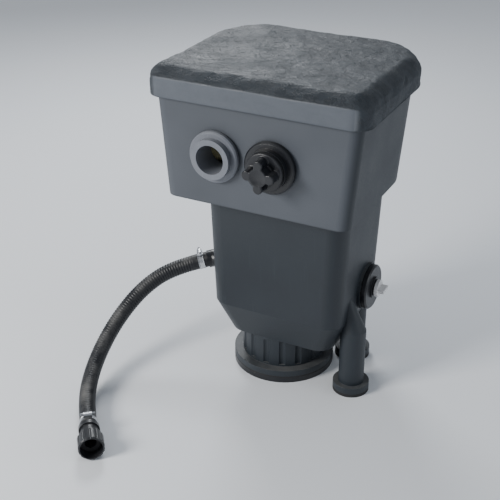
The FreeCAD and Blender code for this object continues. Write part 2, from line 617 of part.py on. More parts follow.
recess_rim = "elbow_radius + elbow_gap + grate_rim"
add_outline(edge_keep, [("outlet_x - (%s)" % recess_rim, "elbow_reach - (%s)" % recess_rim),
                        ("outlet_x + " + recess_rim, "elbow_reach - (%s)" % recess_rim),
                        ("outlet_x + " + recess_rim, "band_depth / 2"),
                        ("outlet_x - (%s)" % recess_rim, "band_depth / 2")])
pocket(slot_field, edge_keep, "grate_thick", "edge_keep")
slot_bars = new_body("slot_bars")
slot_bars.AllowCompound = True
bar_plan = new_sketch(slot_bars, "bar_plan")
SLOTS = 17
for i in range(SLOTS):
    low = "%g * slot_pitch - slot_width / 2" % (i - SLOTS // 2)
    high = "%g * slot_pitch + slot_width / 2" % (i - SLOTS // 2)
    add_outline(bar_plan, [("-base_width", low), ("base_width", low),
                           ("base_width", high), ("-base_width", high)])
pad(slot_bars, bar_plan, "grate_thick", "bars")
put(slot_bars, "0", "0", "grate_height", FreeCAD.Rotation(V(0, 0, 1), SIZES["slot_turn"]))
slots = joined("MultiCommon", "slots", [slot_field, slot_bars])
keep(cut_from("grate_cut", grate, slots), "grate")

# ---------------------------------------------------------------------------
# Column: a collar in the grate's socket, a core with pierced discs, six mats
# that run through the discs, and a cross-shaped cap.
# ---------------------------------------------------------------------------
column_foot = "grate_height + grate_thick"
collar = turned("column_collar", [
    ("0", "0"), ("collar_radius", "0"), ("collar_radius", "collar_foot"),
    ("collar_radius - collar_step", "collar_foot + collar_step"),
    ("collar_radius - collar_step", "collar_height"), ("0", "collar_height")])
put(collar, "column_x", "column_y", column_foot)

frame = new_body("column_frame")
core_low = column_foot + " + collar_height"
core_plan = new_sketch(frame, "core_plan", offset=core_low)
add_circle(core_plan, "0", "0", "core_radius")
pad(frame, core_plan, "column_top - disc_thick - (%s)" % core_low, "core")
for i in range(SIZES["disc_count"]):
    share = "(column_top - 2 * disc_thick - (%s)) * %d / disc_count" % (core_low, i)
    disc_plan = new_sketch(frame, "disc_plan_%d" % i, offset=core_low + " + " + share)
    add_circle(disc_plan, "0", "0", "disc_radius")
    for j in range(SIZES["mat_count"]):
        turn = "(%d * 360 / mat_count)" % j
        add_circle(disc_plan, "mat_circle * cos(%s)" % turn, "mat_circle * sin(%s)" % turn,
                   "mat_radius + gap")
    pad(frame, disc_plan, "disc_thick", "disc_%d" % i)
put(keep(frame, "column_frame"), "column_x", "column_y")

mats = new_body("column_mats")
mats.AllowCompound = True
mat_plan = new_sketch(mats, "mat_plan", offset=core_low)
for j in range(SIZES["mat_count"]):
    turn = "(%d * 360 / mat_count)" % j
    add_circle(mat_plan, "mat_circle * cos(%s)" % turn, "mat_circle * sin(%s)" % turn, "mat_radius")
pad(mats, mat_plan, "column_top - disc_thick - (%s)" % core_low, "mats")
put(keep(mats, "column_mats"), "column_x", "column_y")

column_cap = new_body("column_cap")
cap_plan = new_sketch(column_cap, "column_cap_plan", offset="column_top - disc_thick")
add_circle(cap_plan, "0", "0", "disc_radius")
pad(column_cap, cap_plan, "disc_thick", "column_cap_disc")
window_plan = new_sketch(column_cap, "window_plan", offset="column_top - disc_thick")
add_circle(window_plan, "mat_circle", "0", "mat_radius - window_in")
window = pocket(column_cap, window_plan, "disc_thick", "window")
ring_of(column_cap, window, "mat_count", "windows")
put(keep(column_cap, "column_cap"), "column_x", "column_y")

# ---------------------------------------------------------------------------
# Ribbon media: one closed shape for the loose bundle that fills the tank round
# the column, with a channel for the column and a recess under the elbow.
# ---------------------------------------------------------------------------
media = new_body("ribbon_media")
media_low = new_sketch(media, "media_low", offset="media_bottom")
add_d_shape(media_low, "media_low_half", "media_low_front", "media_low_back",
            "media_corner", "media_back_corner", "body_middle")
media_high = new_sketch(media, "media_high", offset="column_top")
add_d_shape(media_high, "media_half", "media_front", "media_back",
            "media_corner", "media_back_corner", "body_middle")
loft(media, media_low, media_high, "bundle")
channel = new_sketch(media, "channel_plan", offset="media_bottom")
add_circle(channel, "column_x", "column_y", "collar_radius + channel_gap")
pocket(media, channel, "column_top - media_bottom", "channel")
mouth = new_sketch(media, "mouth_plan", offset="media_bottom")
add_outline(mouth, [("column_x", "column_y - collar_radius - channel_gap"),
                    ("body_middle + media_half + mouth_over", "column_y - collar_radius - channel_gap"),
                    ("body_middle + media_half + mouth_over", "column_y + collar_radius + channel_gap"),
                    ("column_x", "column_y + collar_radius + channel_gap")])
pocket(media, mouth, "column_top - media_bottom", "channel_mouth")
recess = new_sketch(media, "recess_plan", offset="media_bottom")
add_outline(recess, RECESS)
pocket(media, recess, "column_top - media_bottom", "elbow_recess")
keep(media, "ribbon_media")

# ---------------------------------------------------------------------------
# Foam pad: its scalloped front edge clears the nuts of the two front ports.
# ---------------------------------------------------------------------------
foam_low = "column_top + gap"
foam = new_body("foam_pad")
foam_plan = new_sketch(foam, "foam_plan", offset=foam_low)
add_d_shape(foam_plan, "foam_half", "foam_front", "foam_back", "foam_corner", "foam_back_corner")
pad(foam, foam_plan, "foam_thick", "foam_sheet")
scallops = new_sketch(foam, "scallop_plan", offset=foam_low)
for port_x in ("-port_left", "port_right"):
    add_circle(scallops, port_x, "-band_depth / 2 + wall", "scallop_radius")
pocket(foam, scallops, "foam_thick", "scallops")
foam_recess = new_sketch(foam, "foam_recess_plan", offset=foam_low)
add_outline(foam_recess, RECESS)
pocket(foam, foam_recess, "foam_thick", "foam_recess")
POST_SPOTS = [(x, y) for x in ("-post_x", "post_x") for y in ("-post_y", "post_y")]
peg_holes = new_sketch(foam, "peg_hole_plan", offset=foam_low)
for post_x, post_y in POST_SPOTS:
    add_circle(peg_holes, post_x, post_y, "peg_radius + gap")
pocket(foam, peg_holes, "foam_thick", "peg_holes")
keep(foam, "foam_pad")

# ---------------------------------------------------------------------------
# Four posts stand on the foam under the lid and hold it down.
# ---------------------------------------------------------------------------
foam_top = "column_top + foam_thick + 2 * gap"
post_solids = []
tip_solids = []
for number, spot in enumerate(POST_SPOTS, start=1):
    post_solids.append(primitive("Cylinder", "post_%d" % number, *spot, foam_top + " + tip_height",
                                 Radius="post_radius",
                                 Height="post_top - (%s) - tip_height" % foam_top))
    foot = primitive("Cylinder", "tip_%d" % number, *spot, foam_top,
                     Radius="tip_radius", Height="tip_height")
    peg = primitive("Cylinder", "peg_%d" % number, *spot, foam_top + " - peg_length",
                    Radius="peg_radius", Height="peg_length")
    tip_solids.append(joined("MultiFuse", "tip_and_peg_%d" % number, [foot, peg]))
posts = doc.addObject("Part::Compound", "post_group")
posts.Links = post_solids
keep(posts, "hold_down_posts")
tips = doc.addObject("Part::Compound", "tip_group")
tips.Links = tip_solids
keep(tips, "post_tips")

# ---------------------------------------------------------------------------
# Lid: a shallow crowned shell whose skirt hangs over the tank's lip.
# ---------------------------------------------------------------------------
lid = new_body("lid")
over_lip = " + lip_out + lid_gap"
outside = over_lip + " + lid_wall"
lid_low = "rim_height - lid_skirt"
lid_edge_top = "rim_height + lid_seal_thick + lid_edge"
lid_top = lid_edge_top + " + lid_crown"


def lid_shape(name, height, extra):
    sketch = new_sketch(lid, name, offset=height)
    add_d_shape(sketch, "rim_width / 2" + extra, "band_depth / 2" + extra, "band_depth / 2" + extra,
                "band_front_corner" + extra, "band_back_corner" + extra)
    return sketch


pad(lid, lid_shape("skirt_outside", lid_low, outside), "lid_skirt + lid_seal_thick + lid_edge", "skirt")
crown_edge = outside + " - crown_inset"
crown_low = new_sketch(lid, "crown_low", offset=lid_edge_top)
add_d_shape(crown_low, "rim_width / 2" + outside, "band_depth / 2" + outside,
            "band_depth / 2" + outside, "band_front_corner" + outside, "band_back_corner" + outside)
crown_high = new_sketch(lid, "crown_high", offset=lid_top)
add_d_shape(crown_high, "rim_width / 2" + crown_edge, "band_depth / 2" + crown_edge,
            "band_depth / 2" + crown_edge, "band_front_corner", "band_back_corner" + crown_edge)
loft(lid, crown_low, crown_high, "crown")
pocket(lid, lid_shape("skirt_inside", lid_low, over_lip), "lid_skirt + lid_seal_thick", "skirt_hollow")
inner_edge = " - seal_width + lip_out"
crown_hollow = new_sketch(lid, "crown_hollow_plan", offset="rim_height")
add_d_shape(crown_hollow, "rim_width / 2" + inner_edge, "band_depth / 2" + inner_edge,
            "band_depth / 2" + inner_edge, "band_front_corner", "band_back_corner" + inner_edge)
pocket(lid, crown_hollow, "lid_seal_thick + lid_edge + lid_crown - lid_top_wall", "crown_hollow")
keep(lid, "lid")

lid_seal = new_body("lid_seal")
seal_plan = new_sketch(lid_seal, "lid_seal_plan", offset="rim_height")
add_d_shape(seal_plan, "rim_width / 2 + lip_out - edge_in", "band_depth / 2 + lip_out - edge_in",
            "band_depth / 2 + lip_out - edge_in", "band_front_corner + lip_out - edge_in",
            "band_back_corner + lip_out - edge_in")
pad(lid_seal, seal_plan, "lid_seal_thick - gap / 2", "lid_seal_pad")
seal_inner = new_sketch(lid_seal, "lid_seal_inner", offset="rim_height")
add_d_shape(seal_inner, "rim_width / 2 - wall + edge_in", "band_depth / 2 - wall + edge_in",
            "band_depth / 2 - wall + edge_in", "band_front_corner - wall + edge_in",
            "band_back_corner - wall + edge_in")
pocket(lid_seal, seal_inner, "lid_seal_thick", "lid_seal_hollow")
put(keep(lid_seal, "lid_seal"), "0", "0", "gap / 2")

# ---------------------------------------------------------------------------
# Hose and what is on it.
# ---------------------------------------------------------------------------
route = [V(*point) for point in HOSE_ROUTE]
first_way = (route[1] - route[0]).normalize()
last_way = (route[-1] - route[-2]).normalize()


def hose_path():
    """Straight runs joined by tangent arcs, each as large as its two runs allow."""
    edges = []
    start = route[0]
    for before, corner, after in zip(route, route[1:], route[2:]):
        back, ahead = before - corner, after - corner
        reach = BEND_SHARE * min(back.Length, ahead.Length)
        half_turn = (math.pi - back.getAngle(ahead)) / 2
        print("hose bend radius %.0f mm" % (reach / math.tan(half_turn)))
        back.normalize()
        ahead.normalize()
        enter, leave = corner + back * reach, corner + ahead * reach
        middle = (back + ahead).normalize()
        distance = reach / math.tan(half_turn) * (1 / math.cos(half_turn) - 1)
        edges.append(Part.LineSegment(start, enter).toShape())
        edges.append(Part.Arc(enter, corner + middle * distance, leave).toShape())
        start = leave
    edges.append(Part.LineSegment(start, route[-1]).toShape())
    return Part.Wire(edges)


path = hose_path()


def along_path(radius):
    rim = Part.Wire(Part.Circle(route[0], first_way, radius).toShape())
    return path.makePipeShell([rim], True, False)


hose = doc.addObject("Part::Feature", "hose")
hose.Shape = along_path(worth("hose_radius")).cut(along_path(worth("hose_bore")))
keep(hose, "hose")
section = math.pi * (worth("hose_radius") ** 2 - worth("hose_bore") ** 2)
print("hose length %.1f mm, volume over section times length %.4f"
      % (path.Length, hose.Shape.Volume / (section * path.Length)))


def on_hose(piece, end, way):
    """Put a piece with its own Z along the hose at one of its ends, and its own Y upwards."""
    piece.Placement = FreeCAD.Placement(end, FreeCAD.Rotation(V(), V(0, 0, 1), way, "ZYX"))


# The inlet barb turns from the bulkhead to the hose's own direction.
barb_corner = V(worth("body_middle - pad_face - barb_reach"), worth("inlet_y"), worth("side_height"))
corner_gap = (route[0] - barb_corner).Length
inlet_barb = doc.addObject("Part::Feature", "inlet_barb")
stub_length = worth("barb_reach - gasket_thick - side_flange_thick - inlet_hub_out")
stub = Part.makeCylinder(worth("barb_collar_radius"), stub_length, barb_corner, V(1, 0, 0))
collar_solid = Part.makeCylinder(worth("barb_collar_radius"), corner_gap, barb_corner, first_way)
knuckle = Part.makeSphere(worth("barb_collar_radius"), barb_corner)
spigot = Part.makeCylinder(worth("hose_bore"), worth("barb_length"), route[0], first_way)
stub_bore = Part.makeCylinder(worth("barb_bore"), stub_length, barb_corner, V(1, 0, 0))
run_bore = Part.makeCylinder(worth("barb_bore"), corner_gap + worth("barb_length"),
                             barb_corner, first_way)
knuckle_bore = Part.makeSphere(worth("barb_bore"), barb_corner)
barb_solid = stub.fuse([collar_solid, knuckle, spigot]).cut([stub_bore, run_bore, knuckle_bore])
inlet_barb.Shape = barb_solid.removeSplitter()
keep(inlet_barb, "inlet_barb")


def clamp(name, end, way):
    """A worm-drive clamp: a steel band round the hose and its screw housing."""
    band = tube(name + "_clamp_band", "hose_radius + seat", "hose_radius + clamp_thick",
                "clamp_from_end", "clamp_from_end + clamp_width")
    on_hose(band, end, way)
    screw = new_body(name + "_clamp_screw")
    plan = new_sketch(screw, name + "_housing_plan", offset="clamp_from_end")
    low, high = "hose_radius + clamp_thick + seat", "hose_radius + clamp_thick + clamp_box_high"
    add_outline(plan, [("-clamp_box_half", low), ("clamp_box_half", low),
                       ("clamp_box_half", high), ("-clamp_box_half", high)])
    pad(screw, plan, "clamp_width", name + "_housing")
    shaft = new_sketch(screw, name + "_screw_plan", "YZ_Plane", "-clamp_screw_half")
    add_circle(shaft, "hose_radius + clamp_thick + clamp_screw_up",
               "clamp_from_end + clamp_width / 2", "clamp_screw_radius")
    pad(screw, shaft, "2 * clamp_screw_half", name + "_screw")
    on_hose(keep(screw, name + "_clamp_screw"), end, way)


clamp("inlet", route[0], first_way)
clamp("coupling", route[-1], last_way * -1)

coupling = turned("hose_coupling", [
    ("barb_bore", "-barb_length"), ("hose_bore", "-barb_length"), ("hose_bore", "0"),
    ("coupling_radius + coupling_flare", "0"), ("coupling_radius + coupling_flare", "coupling_collar"),
    ("coupling_radius", "coupling_collar"), ("coupling_radius", "coupling_length"),
    ("coupling_lip_radius", "coupling_length"),
    ("coupling_lip_radius", "coupling_length + coupling_lip"),
    ("barb_bore", "coupling_length + coupling_lip")])
on_hose(coupling, route[-1], last_way)
washer = tube("union_washer", "barb_bore", "coupling_lip_radius - edge_in",
              "coupling_length + coupling_lip", "coupling_length + coupling_lip + washer_thick")
on_hose(washer, route[-1], last_way)
nut_low = "coupling_length - union_back - gap"
nut_high = nut_low + " + union_length"
union = turned("union_nut", [
    ("coupling_radius + gap", nut_low), ("union_radius - nut_chamfer", nut_low),
    ("union_radius", nut_low + " + nut_chamfer"),
    ("union_radius", nut_high + " - nut_chamfer"), ("union_radius - nut_chamfer", nut_high),
    ("union_bore", nut_high),
    ("union_bore", "coupling_length - gap"), ("coupling_radius + gap", "coupling_length - gap")])
rib_plan = new_sketch(union, "grip_plan", offset=nut_low)
add_circle(rib_plan, "union_radius + grip_out", "0", "grip_radius")
ring_of(union, pocket(union, rib_plan, "union_length", "grip"), "grip_count", "grips")
on_hose(union, route[-1], last_way)

# ---------------------------------------------------------------------------
# Check every object, then write one STEP file for each sub-part.
# ---------------------------------------------------------------------------
sheet.clear("D1")
doc.recompute()
for thing in doc.Objects:
    if "Invalid" in thing.State or "Error" in thing.State:
        raise RuntimeError("%s did not build: %s" % (thing.Name, thing.State))
for part in sub_parts:
    if part.Shape.isNull() or not part.Shape.isValid():
        raise RuntimeError("%s has no valid shape" % part.Label)
for part in sub_parts:
    part.Shape.exportStep("parts/%s.step" % part.Label)
    print(part.Label, len(part.Shape.Solids), round(part.Shape.Volume / 1000.0, 2))
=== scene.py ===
import math

import bmesh
import bpy
from mathutils import Matrix, Vector, noise


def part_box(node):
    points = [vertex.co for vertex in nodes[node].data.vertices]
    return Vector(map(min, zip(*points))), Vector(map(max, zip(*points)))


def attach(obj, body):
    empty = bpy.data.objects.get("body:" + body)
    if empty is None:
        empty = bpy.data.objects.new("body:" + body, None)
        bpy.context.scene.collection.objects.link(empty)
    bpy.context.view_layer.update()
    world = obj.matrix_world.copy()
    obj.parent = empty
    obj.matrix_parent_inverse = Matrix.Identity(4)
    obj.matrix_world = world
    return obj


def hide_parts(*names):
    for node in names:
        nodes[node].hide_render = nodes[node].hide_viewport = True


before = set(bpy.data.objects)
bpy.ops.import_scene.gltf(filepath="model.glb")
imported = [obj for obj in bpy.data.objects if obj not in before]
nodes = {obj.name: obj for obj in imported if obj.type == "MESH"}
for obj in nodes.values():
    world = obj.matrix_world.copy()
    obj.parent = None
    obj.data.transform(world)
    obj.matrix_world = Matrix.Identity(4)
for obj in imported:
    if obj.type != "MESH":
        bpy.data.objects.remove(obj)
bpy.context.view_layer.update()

# ---------------------------------------------------------------------------
# Studio: a pale floor, soft light from above the front left, and a camera
# that looks down on the front and the right side.
# ---------------------------------------------------------------------------
VIEW_ROUND, VIEW_DOWN = math.radians(27), math.radians(28)
VIEW_DISTANCE, VIEW_LENS = 2.2, 74
VIEW_TARGET = Vector((-0.050, -0.10, 0.312))
FLOOR_REACH, FLOOR_COLOUR = 9, (0.86, 0.88, 0.91, 1)
SKY_COLOUR, SKY_STRENGTH = (0.86, 0.92, 1.0, 1), 0.42

camera = bpy.data.objects.new("camera", bpy.data.cameras.new("camera"))
back = Vector((math.sin(VIEW_ROUND) * math.cos(VIEW_DOWN),
               -math.cos(VIEW_ROUND) * math.cos(VIEW_DOWN), math.sin(VIEW_DOWN)))
camera.location = VIEW_TARGET + back * VIEW_DISTANCE
camera.rotation_mode = "QUATERNION"
camera.rotation_quaternion = (-back).to_track_quat("-Z", "Y")
camera.data.lens = VIEW_LENS
camera.data.clip_end = 40
bpy.context.scene.collection.objects.link(camera)
bpy.context.scene.camera = camera

floor_mesh = bpy.data.meshes.new("floor")
floor_mesh.from_pydata([(x * FLOOR_REACH, y * FLOOR_REACH, 0)
                        for x, y in ((-1, -1), (1, -1), (1, 1), (-1, 1))], [], [(0, 1, 2, 3)])
floor = bpy.data.objects.new("floor", floor_mesh)
bpy.context.scene.collection.objects.link(floor)


def new_material(name):
    """A material with its node tree and its shader."""
    material = bpy.data.materials.new(name)
    material.use_nodes = True
    return material, material.node_tree, material.node_tree.nodes["Principled BSDF"]


paper, tree, shader = new_material("pale_floor")
shader.inputs["Base Color"].default_value = FLOOR_COLOUR
shader.inputs["Roughness"].default_value = 0.75
floor_mesh.materials.append(paper)

world = bpy.data.worlds.new("studio")
bpy.context.scene.world = world
world.use_nodes = True
sky = world.node_tree.nodes["Background"].inputs
sky["Color"].default_value = SKY_COLOUR
sky["Strength"].default_value = SKY_STRENGTH


def soft_light(name, place, aim, size, power, tint):
    light = bpy.data.lights.new(name, "AREA")
    light.size, light.energy, light.color = size, power, tint
    holder = bpy.data.objects.new(name, light)
    holder.location = place
    holder.rotation_mode = "QUATERNION"
    holder.rotation_quaternion = (Vector(aim) - Vector(place)).to_track_quat("-Z", "Y")
    bpy.context.scene.collection.objects.link(holder)


soft_light("key_light", (-1.6, -2.4, 1.7), (0, 0, 0.4), 1.0, 88, (1.0, 0.985, 0.96))
soft_light("top_light", (-1.3, 1.6, 1.9), (0, 0, 0.6), 0.8, 34, (0.94, 0.97, 1.0))
soft_light("side_light", (2.6, 0.2, 1.2), (0, 0, 0.35), 1.1, 9, (0.90, 0.95, 1.0))

# ---------------------------------------------------------------------------
# Hose: 0.58 m of black ribbed pond hose, 36 mm outside, with smooth cuffs.
# It leaves the inlet barb, drops beside the tank and lies along the ground.
# ---------------------------------------------------------------------------
HOSE_ROUTE = [(-0.2006, -0.0173, 0.2131), (-0.2670, -0.0588, 0.1960),
              (-0.3153, -0.1184, 0.1605), (-0.3417, -0.1909, 0.1085),
              (-0.3444, -0.2680, 0.0600), (-0.3224, -0.3448, 0.0300),
              (-0.2802, -0.4124, 0.0205), (-0.2361, -0.4668, 0.0250)]
HOSE_LENGTH, HOSE_RADIUS, HOSE_BORE = 0.58, 0.018, 0.0155
RIB_PITCH, RIB_DEPTH, CUFF = 0.0062, 0.0012, 0.034
CUFF_DROP, RIB_ROUNDNESS = 0.0003, 0.6
HOSE_STEP, HOSE_SIDES, BORE_EVERY, ROUTE_STEPS = 0.00155, 36, 4, 48


def link_mesh(name, mesh):
    piece = bpy.data.objects.new(name, mesh)
    bpy.context.scene.collection.objects.link(piece)
    return piece


def finished(name, bm, smooth_angle=35):
    """Turns a bmesh into a piece with its faces outwards and soft shading."""
    mesh = bpy.data.meshes.new(name)
    bmesh.ops.recalc_face_normals(bm, faces=bm.faces)
    bm.to_mesh(mesh)
    bm.free()
    mesh.shade_smooth()
    mesh.set_sharp_from_angle(angle=math.radians(smooth_angle))
    return link_mesh(name, mesh)


route_curve = bpy.data.curves.new("hose_route", "CURVE")
route_curve.dimensions = "3D"
spline = route_curve.splines.new("NURBS")
spline.points.add(len(HOSE_ROUTE) - 1)
for point, place in zip(spline.points, HOSE_ROUTE):
    point.co = (*place, 1)
spline.order_u = 3
spline.use_endpoint_u = True
spline.resolution_u = ROUTE_STEPS
route_object = bpy.data.objects.new("hose_route", route_curve)
bpy.context.scene.collection.objects.link(route_object)
bpy.context.view_layer.update()
route_mesh = bpy.data.meshes.new_from_object(
    route_object.evaluated_get(bpy.context.evaluated_depsgraph_get()))
hose_line = [v.co.copy() for v in route_mesh.vertices]
bpy.data.objects.remove(route_object)


def evenly(line, step):
    """The line again with its points one step apart."""
    lengths = [0.0]
    for a, b in zip(line, line[1:]):
        lengths.append(lengths[-1] + (b - a).length)
    count = max(2, round(lengths[-1] / step))
    points, k = [], 0
    for i in range(count + 1):
        want = lengths[-1] * i / count
        while k < len(line) - 2 and lengths[k + 1] < want:
            k += 1
        share = (want - lengths[k]) / max(1e-9, lengths[k + 1] - lengths[k])
        points.append(line[k].lerp(line[k + 1], share))
    return points


hose_points = evenly(hose_line, HOSE_STEP)


def carried_frames(points):
    """A side and an up direction at each point that turn with the line and don't twist."""
    frames = []
    side = None
    for i in range(len(points)):
        way = (points[min(i + 1, len(points) - 1)] - points[max(i - 1, 0)]).normalized()
        if side is None:
            side = way.cross(Vector((0, 0, 1))).normalized()
        side = (side - way * side.dot(way)).normalized()
        frames.append((side, way.cross(side)))
    return frames


def hose_radius_at(run, whole):
    """The outside: smooth cuffs at both ends and rounded ribs between them."""
    edge = min(run, whole - run)
    if edge < CUFF:
        return HOSE_RADIUS - CUFF_DROP
    fade = min(1.0, (edge - CUFF) / RIB_PITCH)
    wave = 0.5 + 0.5 * math.cos(2 * math.pi * (run - CUFF) / RIB_PITCH)
    return HOSE_RADIUS - fade * RIB_DEPTH * (1 - wave ** RIB_ROUNDNESS)


def bridge_rings(bm, pairs):
    """Faces between each pair of rings of points."""
    for ring, following in pairs:
        for j in range(len(ring)):
            k = (j + 1) % len(ring)
            bm.faces.new((ring[j], ring[k], following[k], following[j]))


bm = bmesh.new()
frames = carried_frames(hose_points)
whole = HOSE_STEP * (len(hose_points) - 1)
skin = []
for i, (point, (side, up)) in enumerate(zip(hose_points, frames)):
    radius = hose_radius_at(i * HOSE_STEP, whole)
    skin.append([bm.verts.new(point + side * radius * math.cos(a) + up * radius * math.sin(a))
                 for a in (2 * math.pi * j / HOSE_SIDES for j in range(HOSE_SIDES))])
for i in range(len(hose_points) - 1, -1, -BORE_EVERY):
    point, (side, up) = hose_points[i], frames[i]
    skin.append([bm.verts.new(point + side * HOSE_BORE * math.cos(a) + up * HOSE_BORE * math.sin(a))
                 for a in (2 * math.pi * j / HOSE_SIDES for j in range(HOSE_SIDES))])
bridge_rings(bm, zip(skin, skin[1:] + skin[:1]))
hose = finished("pond_hose", bm, 60)


def node(tree, kind, inputs=None, **settings):
    """Adds a node; an input is a constant, or a socket that is linked to it."""
    made = tree.nodes.new(kind)
    for name, value in settings.items():
        setattr(made, name, value)
    for key, value in (inputs or {}).items():
        if isinstance(value, bpy.types.NodeSocket):
            tree.links.new(value, made.inputs[key])
        else:
            made.inputs[key].default_value = value
    return made


def mix_colour(tree, share, first, second):
    made = node(tree, "ShaderNodeMix", data_type="RGBA")
    sockets = made.inputs[0], made.inputs[6], made.inputs[7]
    for socket, value in zip(sockets, (share, first, second)):
        if isinstance(value, bpy.types.NodeSocket):
            tree.links.new(value, socket)
        else:
            socket.default_value = value
    return made.outputs[2]


def in_range(tree, value, low, high, to_low=0.0, to_high=1.0):
    return node(tree, "ShaderNodeMapRange", {"Value": value, "From Min": low, "From Max": high,
                                             "To Min": to_low, "To Max": to_high}).outputs[0]


def times(tree, a, b):
    return node(tree, "ShaderNodeMath", {0: a, 1: b}, operation="MULTIPLY").outputs[0]


def plus(tree, a, b):
    return node(tree, "ShaderNodeMath", {0: a, 1: b}, operation="ADD").outputs[0]


def new_group(name, inputs, outputs):
    """A shader node group whose numbered inputs have their usual values."""
    group = bpy.data.node_groups.new(name, "ShaderNodeTree")
    for label, kind, value in inputs:
        socket = group.interface.new_socket(name=label, in_out="INPUT",
                                            socket_type="NodeSocket" + kind)
        socket.default_value = value
    for label, kind in outputs:
        group.interface.new_socket(name=label, in_out="OUTPUT", socket_type="NodeSocket" + kind)
    return group, group.nodes.new("NodeGroupInput"), group.nodes.new("NodeGroupOutput")


# Moulded surface: uneven colour, fine grain, long rub marks and settled dust.
moulded_surface, given, result = new_group(
    "moulded_surface",
    [("Base Colour", "Color", (0.03, 0.03, 0.03, 1)),
     ("Worn Colour", "Color", (0.08, 0.08, 0.08, 1)),
     ("Dust Colour", "Color", (0.34, 0.33, 0.31, 1)), ("Patch Scale", "Float", 9.0),
     ("Grain Scale", "Float", 700.0), ("Wear", "Float", 0.5), ("Dust", "Float", 0.2),
     ("Low Roughness", "Float", 0.35), ("High Roughness", "Float", 0.6)],
    [("Colour", "Color"), ("Roughness", "Float"), ("Height", "Float")])
where = node(moulded_surface, "ShaderNodeTexCoord").outputs["Object"]
patches = node(moulded_surface, "ShaderNodeTexNoise",
               {"Vector": where, "Scale": given.outputs["Patch Scale"], "Detail": 5.0,
                "Roughness": 0.62}).outputs[0]
grain = node(moulded_surface, "ShaderNodeTexNoise",
             {"Vector": where, "Scale": given.outputs["Grain Scale"], "Detail": 2.0}).outputs[0]
stretched = node(moulded_surface, "ShaderNodeMapping",
                 {"Vector": where, "Rotation": (0.2, 0.35, 0.1), "Scale": (190, 190, 9)}).outputs[0]
rubs = node(moulded_surface, "ShaderNodeTexNoise",
            {"Vector": stretched, "Scale": 1.0, "Detail": 3.0}).outputs[0]
rub_mask = in_range(moulded_surface, rubs, 0.62, 0.76)
patch_mask = in_range(moulded_surface, patches, 0.34, 0.72)
worn = times(moulded_surface, plus(moulded_surface, times(moulded_surface, rub_mask, 0.45),
                                   times(moulded_surface, patch_mask, 0.55)), given.outputs["Wear"])
facing = node(moulded_surface, "ShaderNodeSeparateXYZ",
              {0: node(moulded_surface, "ShaderNodeNewGeometry").outputs["Normal"]}).outputs[2]
settled = times(moulded_surface, in_range(moulded_surface, facing, 0.35, 0.95),
                in_range(moulded_surface, patches, 0.40, 0.66))
dusty = times(moulded_surface, settled, given.outputs["Dust"])
coloured = mix_colour(moulded_surface, worn, given.outputs["Base Colour"],
                      given.outputs["Worn Colour"])
dusted = mix_colour(moulded_surface, dusty, coloured, given.outputs["Dust Colour"])
moulded_surface.links.new(dusted, result.inputs["Colour"])
rough = node(moulded_surface, "ShaderNodeMapRange",
             {"Value": plus(moulded_surface, times(moulded_surface, patches, 0.6),
                            times(moulded_surface, grain, 0.4)),
              "From Min": 0.3, "From Max": 0.7, "To Min": given.outputs["Low Roughness"],
              "To Max": given.outputs["High Roughness"]}).outputs[0]
moulded_surface.links.new(plus(moulded_surface, rough, times(moulded_surface, dusty, 0.3)),
                          result.inputs["Roughness"])
moulded_surface.links.new(plus(moulded_surface, grain, times(moulded_surface, rub_mask, -0.35)),
                          result.inputs["Height"])


def rgba(colour):
    return (*colour, 1)


def moulded(name, base, worn, wear=0.5, dust=0.2, shine=(0.35, 0.6), grain=700.0, depth=0.0004,
            patch=9.0, coat=0.0, edge=0.0011):
    """A material of one moulding: its own colours and grain, and edges that catch the light."""
    finish, tree, shader = new_material(name)
    surface = node(tree, "ShaderNodeGroup",
                   {"Base Colour": rgba(base), "Worn Colour": rgba(worn), "Patch Scale": patch,
                    "Grain Scale": grain, "Wear": wear, "Dust": dust, "Low Roughness": shine[0],
                    "High Roughness": shine[1]}, node_tree=moulded_surface)
    tree.links.new(surface.outputs["Colour"], shader.inputs["Base Color"])
    tree.links.new(surface.outputs["Roughness"], shader.inputs["Roughness"])
    round_edge = node(tree, "ShaderNodeBevel", {"Radius": edge}, samples=4).outputs[0]
    bump = node(tree, "ShaderNodeBump", {"Height": surface.outputs["Height"], "Strength": 0.5,
                                         "Distance": depth, "Normal": round_edge})
    tree.links.new(bump.outputs[0], shader.inputs["Normal"])
    shader.inputs["Coat Weight"].default_value = coat
    return finish


hose_rubber = moulded("hose_rubber", (0.008, 0.009, 0.012), (0.020, 0.022, 0.027), wear=0.5,
                      dust=0.35, shine=(0.34, 0.55), grain=900.0, depth=0.0003, patch=22.0)
hose.data.materials.append(hose_rubber)
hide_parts("hose")
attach(hose, "root")

# ---------------------------------------------------------------------------
# Worm-drive clamps: a slotted steel band with rolled edges round each end of
# the hose, a pressed housing on top, and a hexagon screw through it.
# ---------------------------------------------------------------------------
BAND_FROM_END, BAND_WIDTH, BAND_INNER, BAND_OUTER = 0.009, 0.013, 0.01805, 0.0192
RIM_LIFT, GROOVE, RIM_WIDE, RIM_SLOPE, SLOT_FROM = 0.0002, 0.0003, 0.0012, 0.0020, 0.0038
BAND_SIDES, SLOT_ARC, SLOT_ROW, SLOT_EDGE, SLOT_DEPTH = 120, 250, 4, 0.0001, 0.0005
HOUSING_HALF, HOUSING_HIGH, HOUSING_SUNK, HOUSING_ROUND = 0.009, 0.0088, 0.0008, 0.0045
SCREW_RADIUS, SCREW_HALF, SCREW_UP = 0.0036, 0.016, 0.0242
HEAD_LONG, HEAD_RIM, HEAD_DISH = 0.006, 0.0009, 0.0012
THREAD_TURNS, THREAD_SIDES, THREAD_STEPS, THREAD_DEPTH = 26, 20, 4, 0.0004

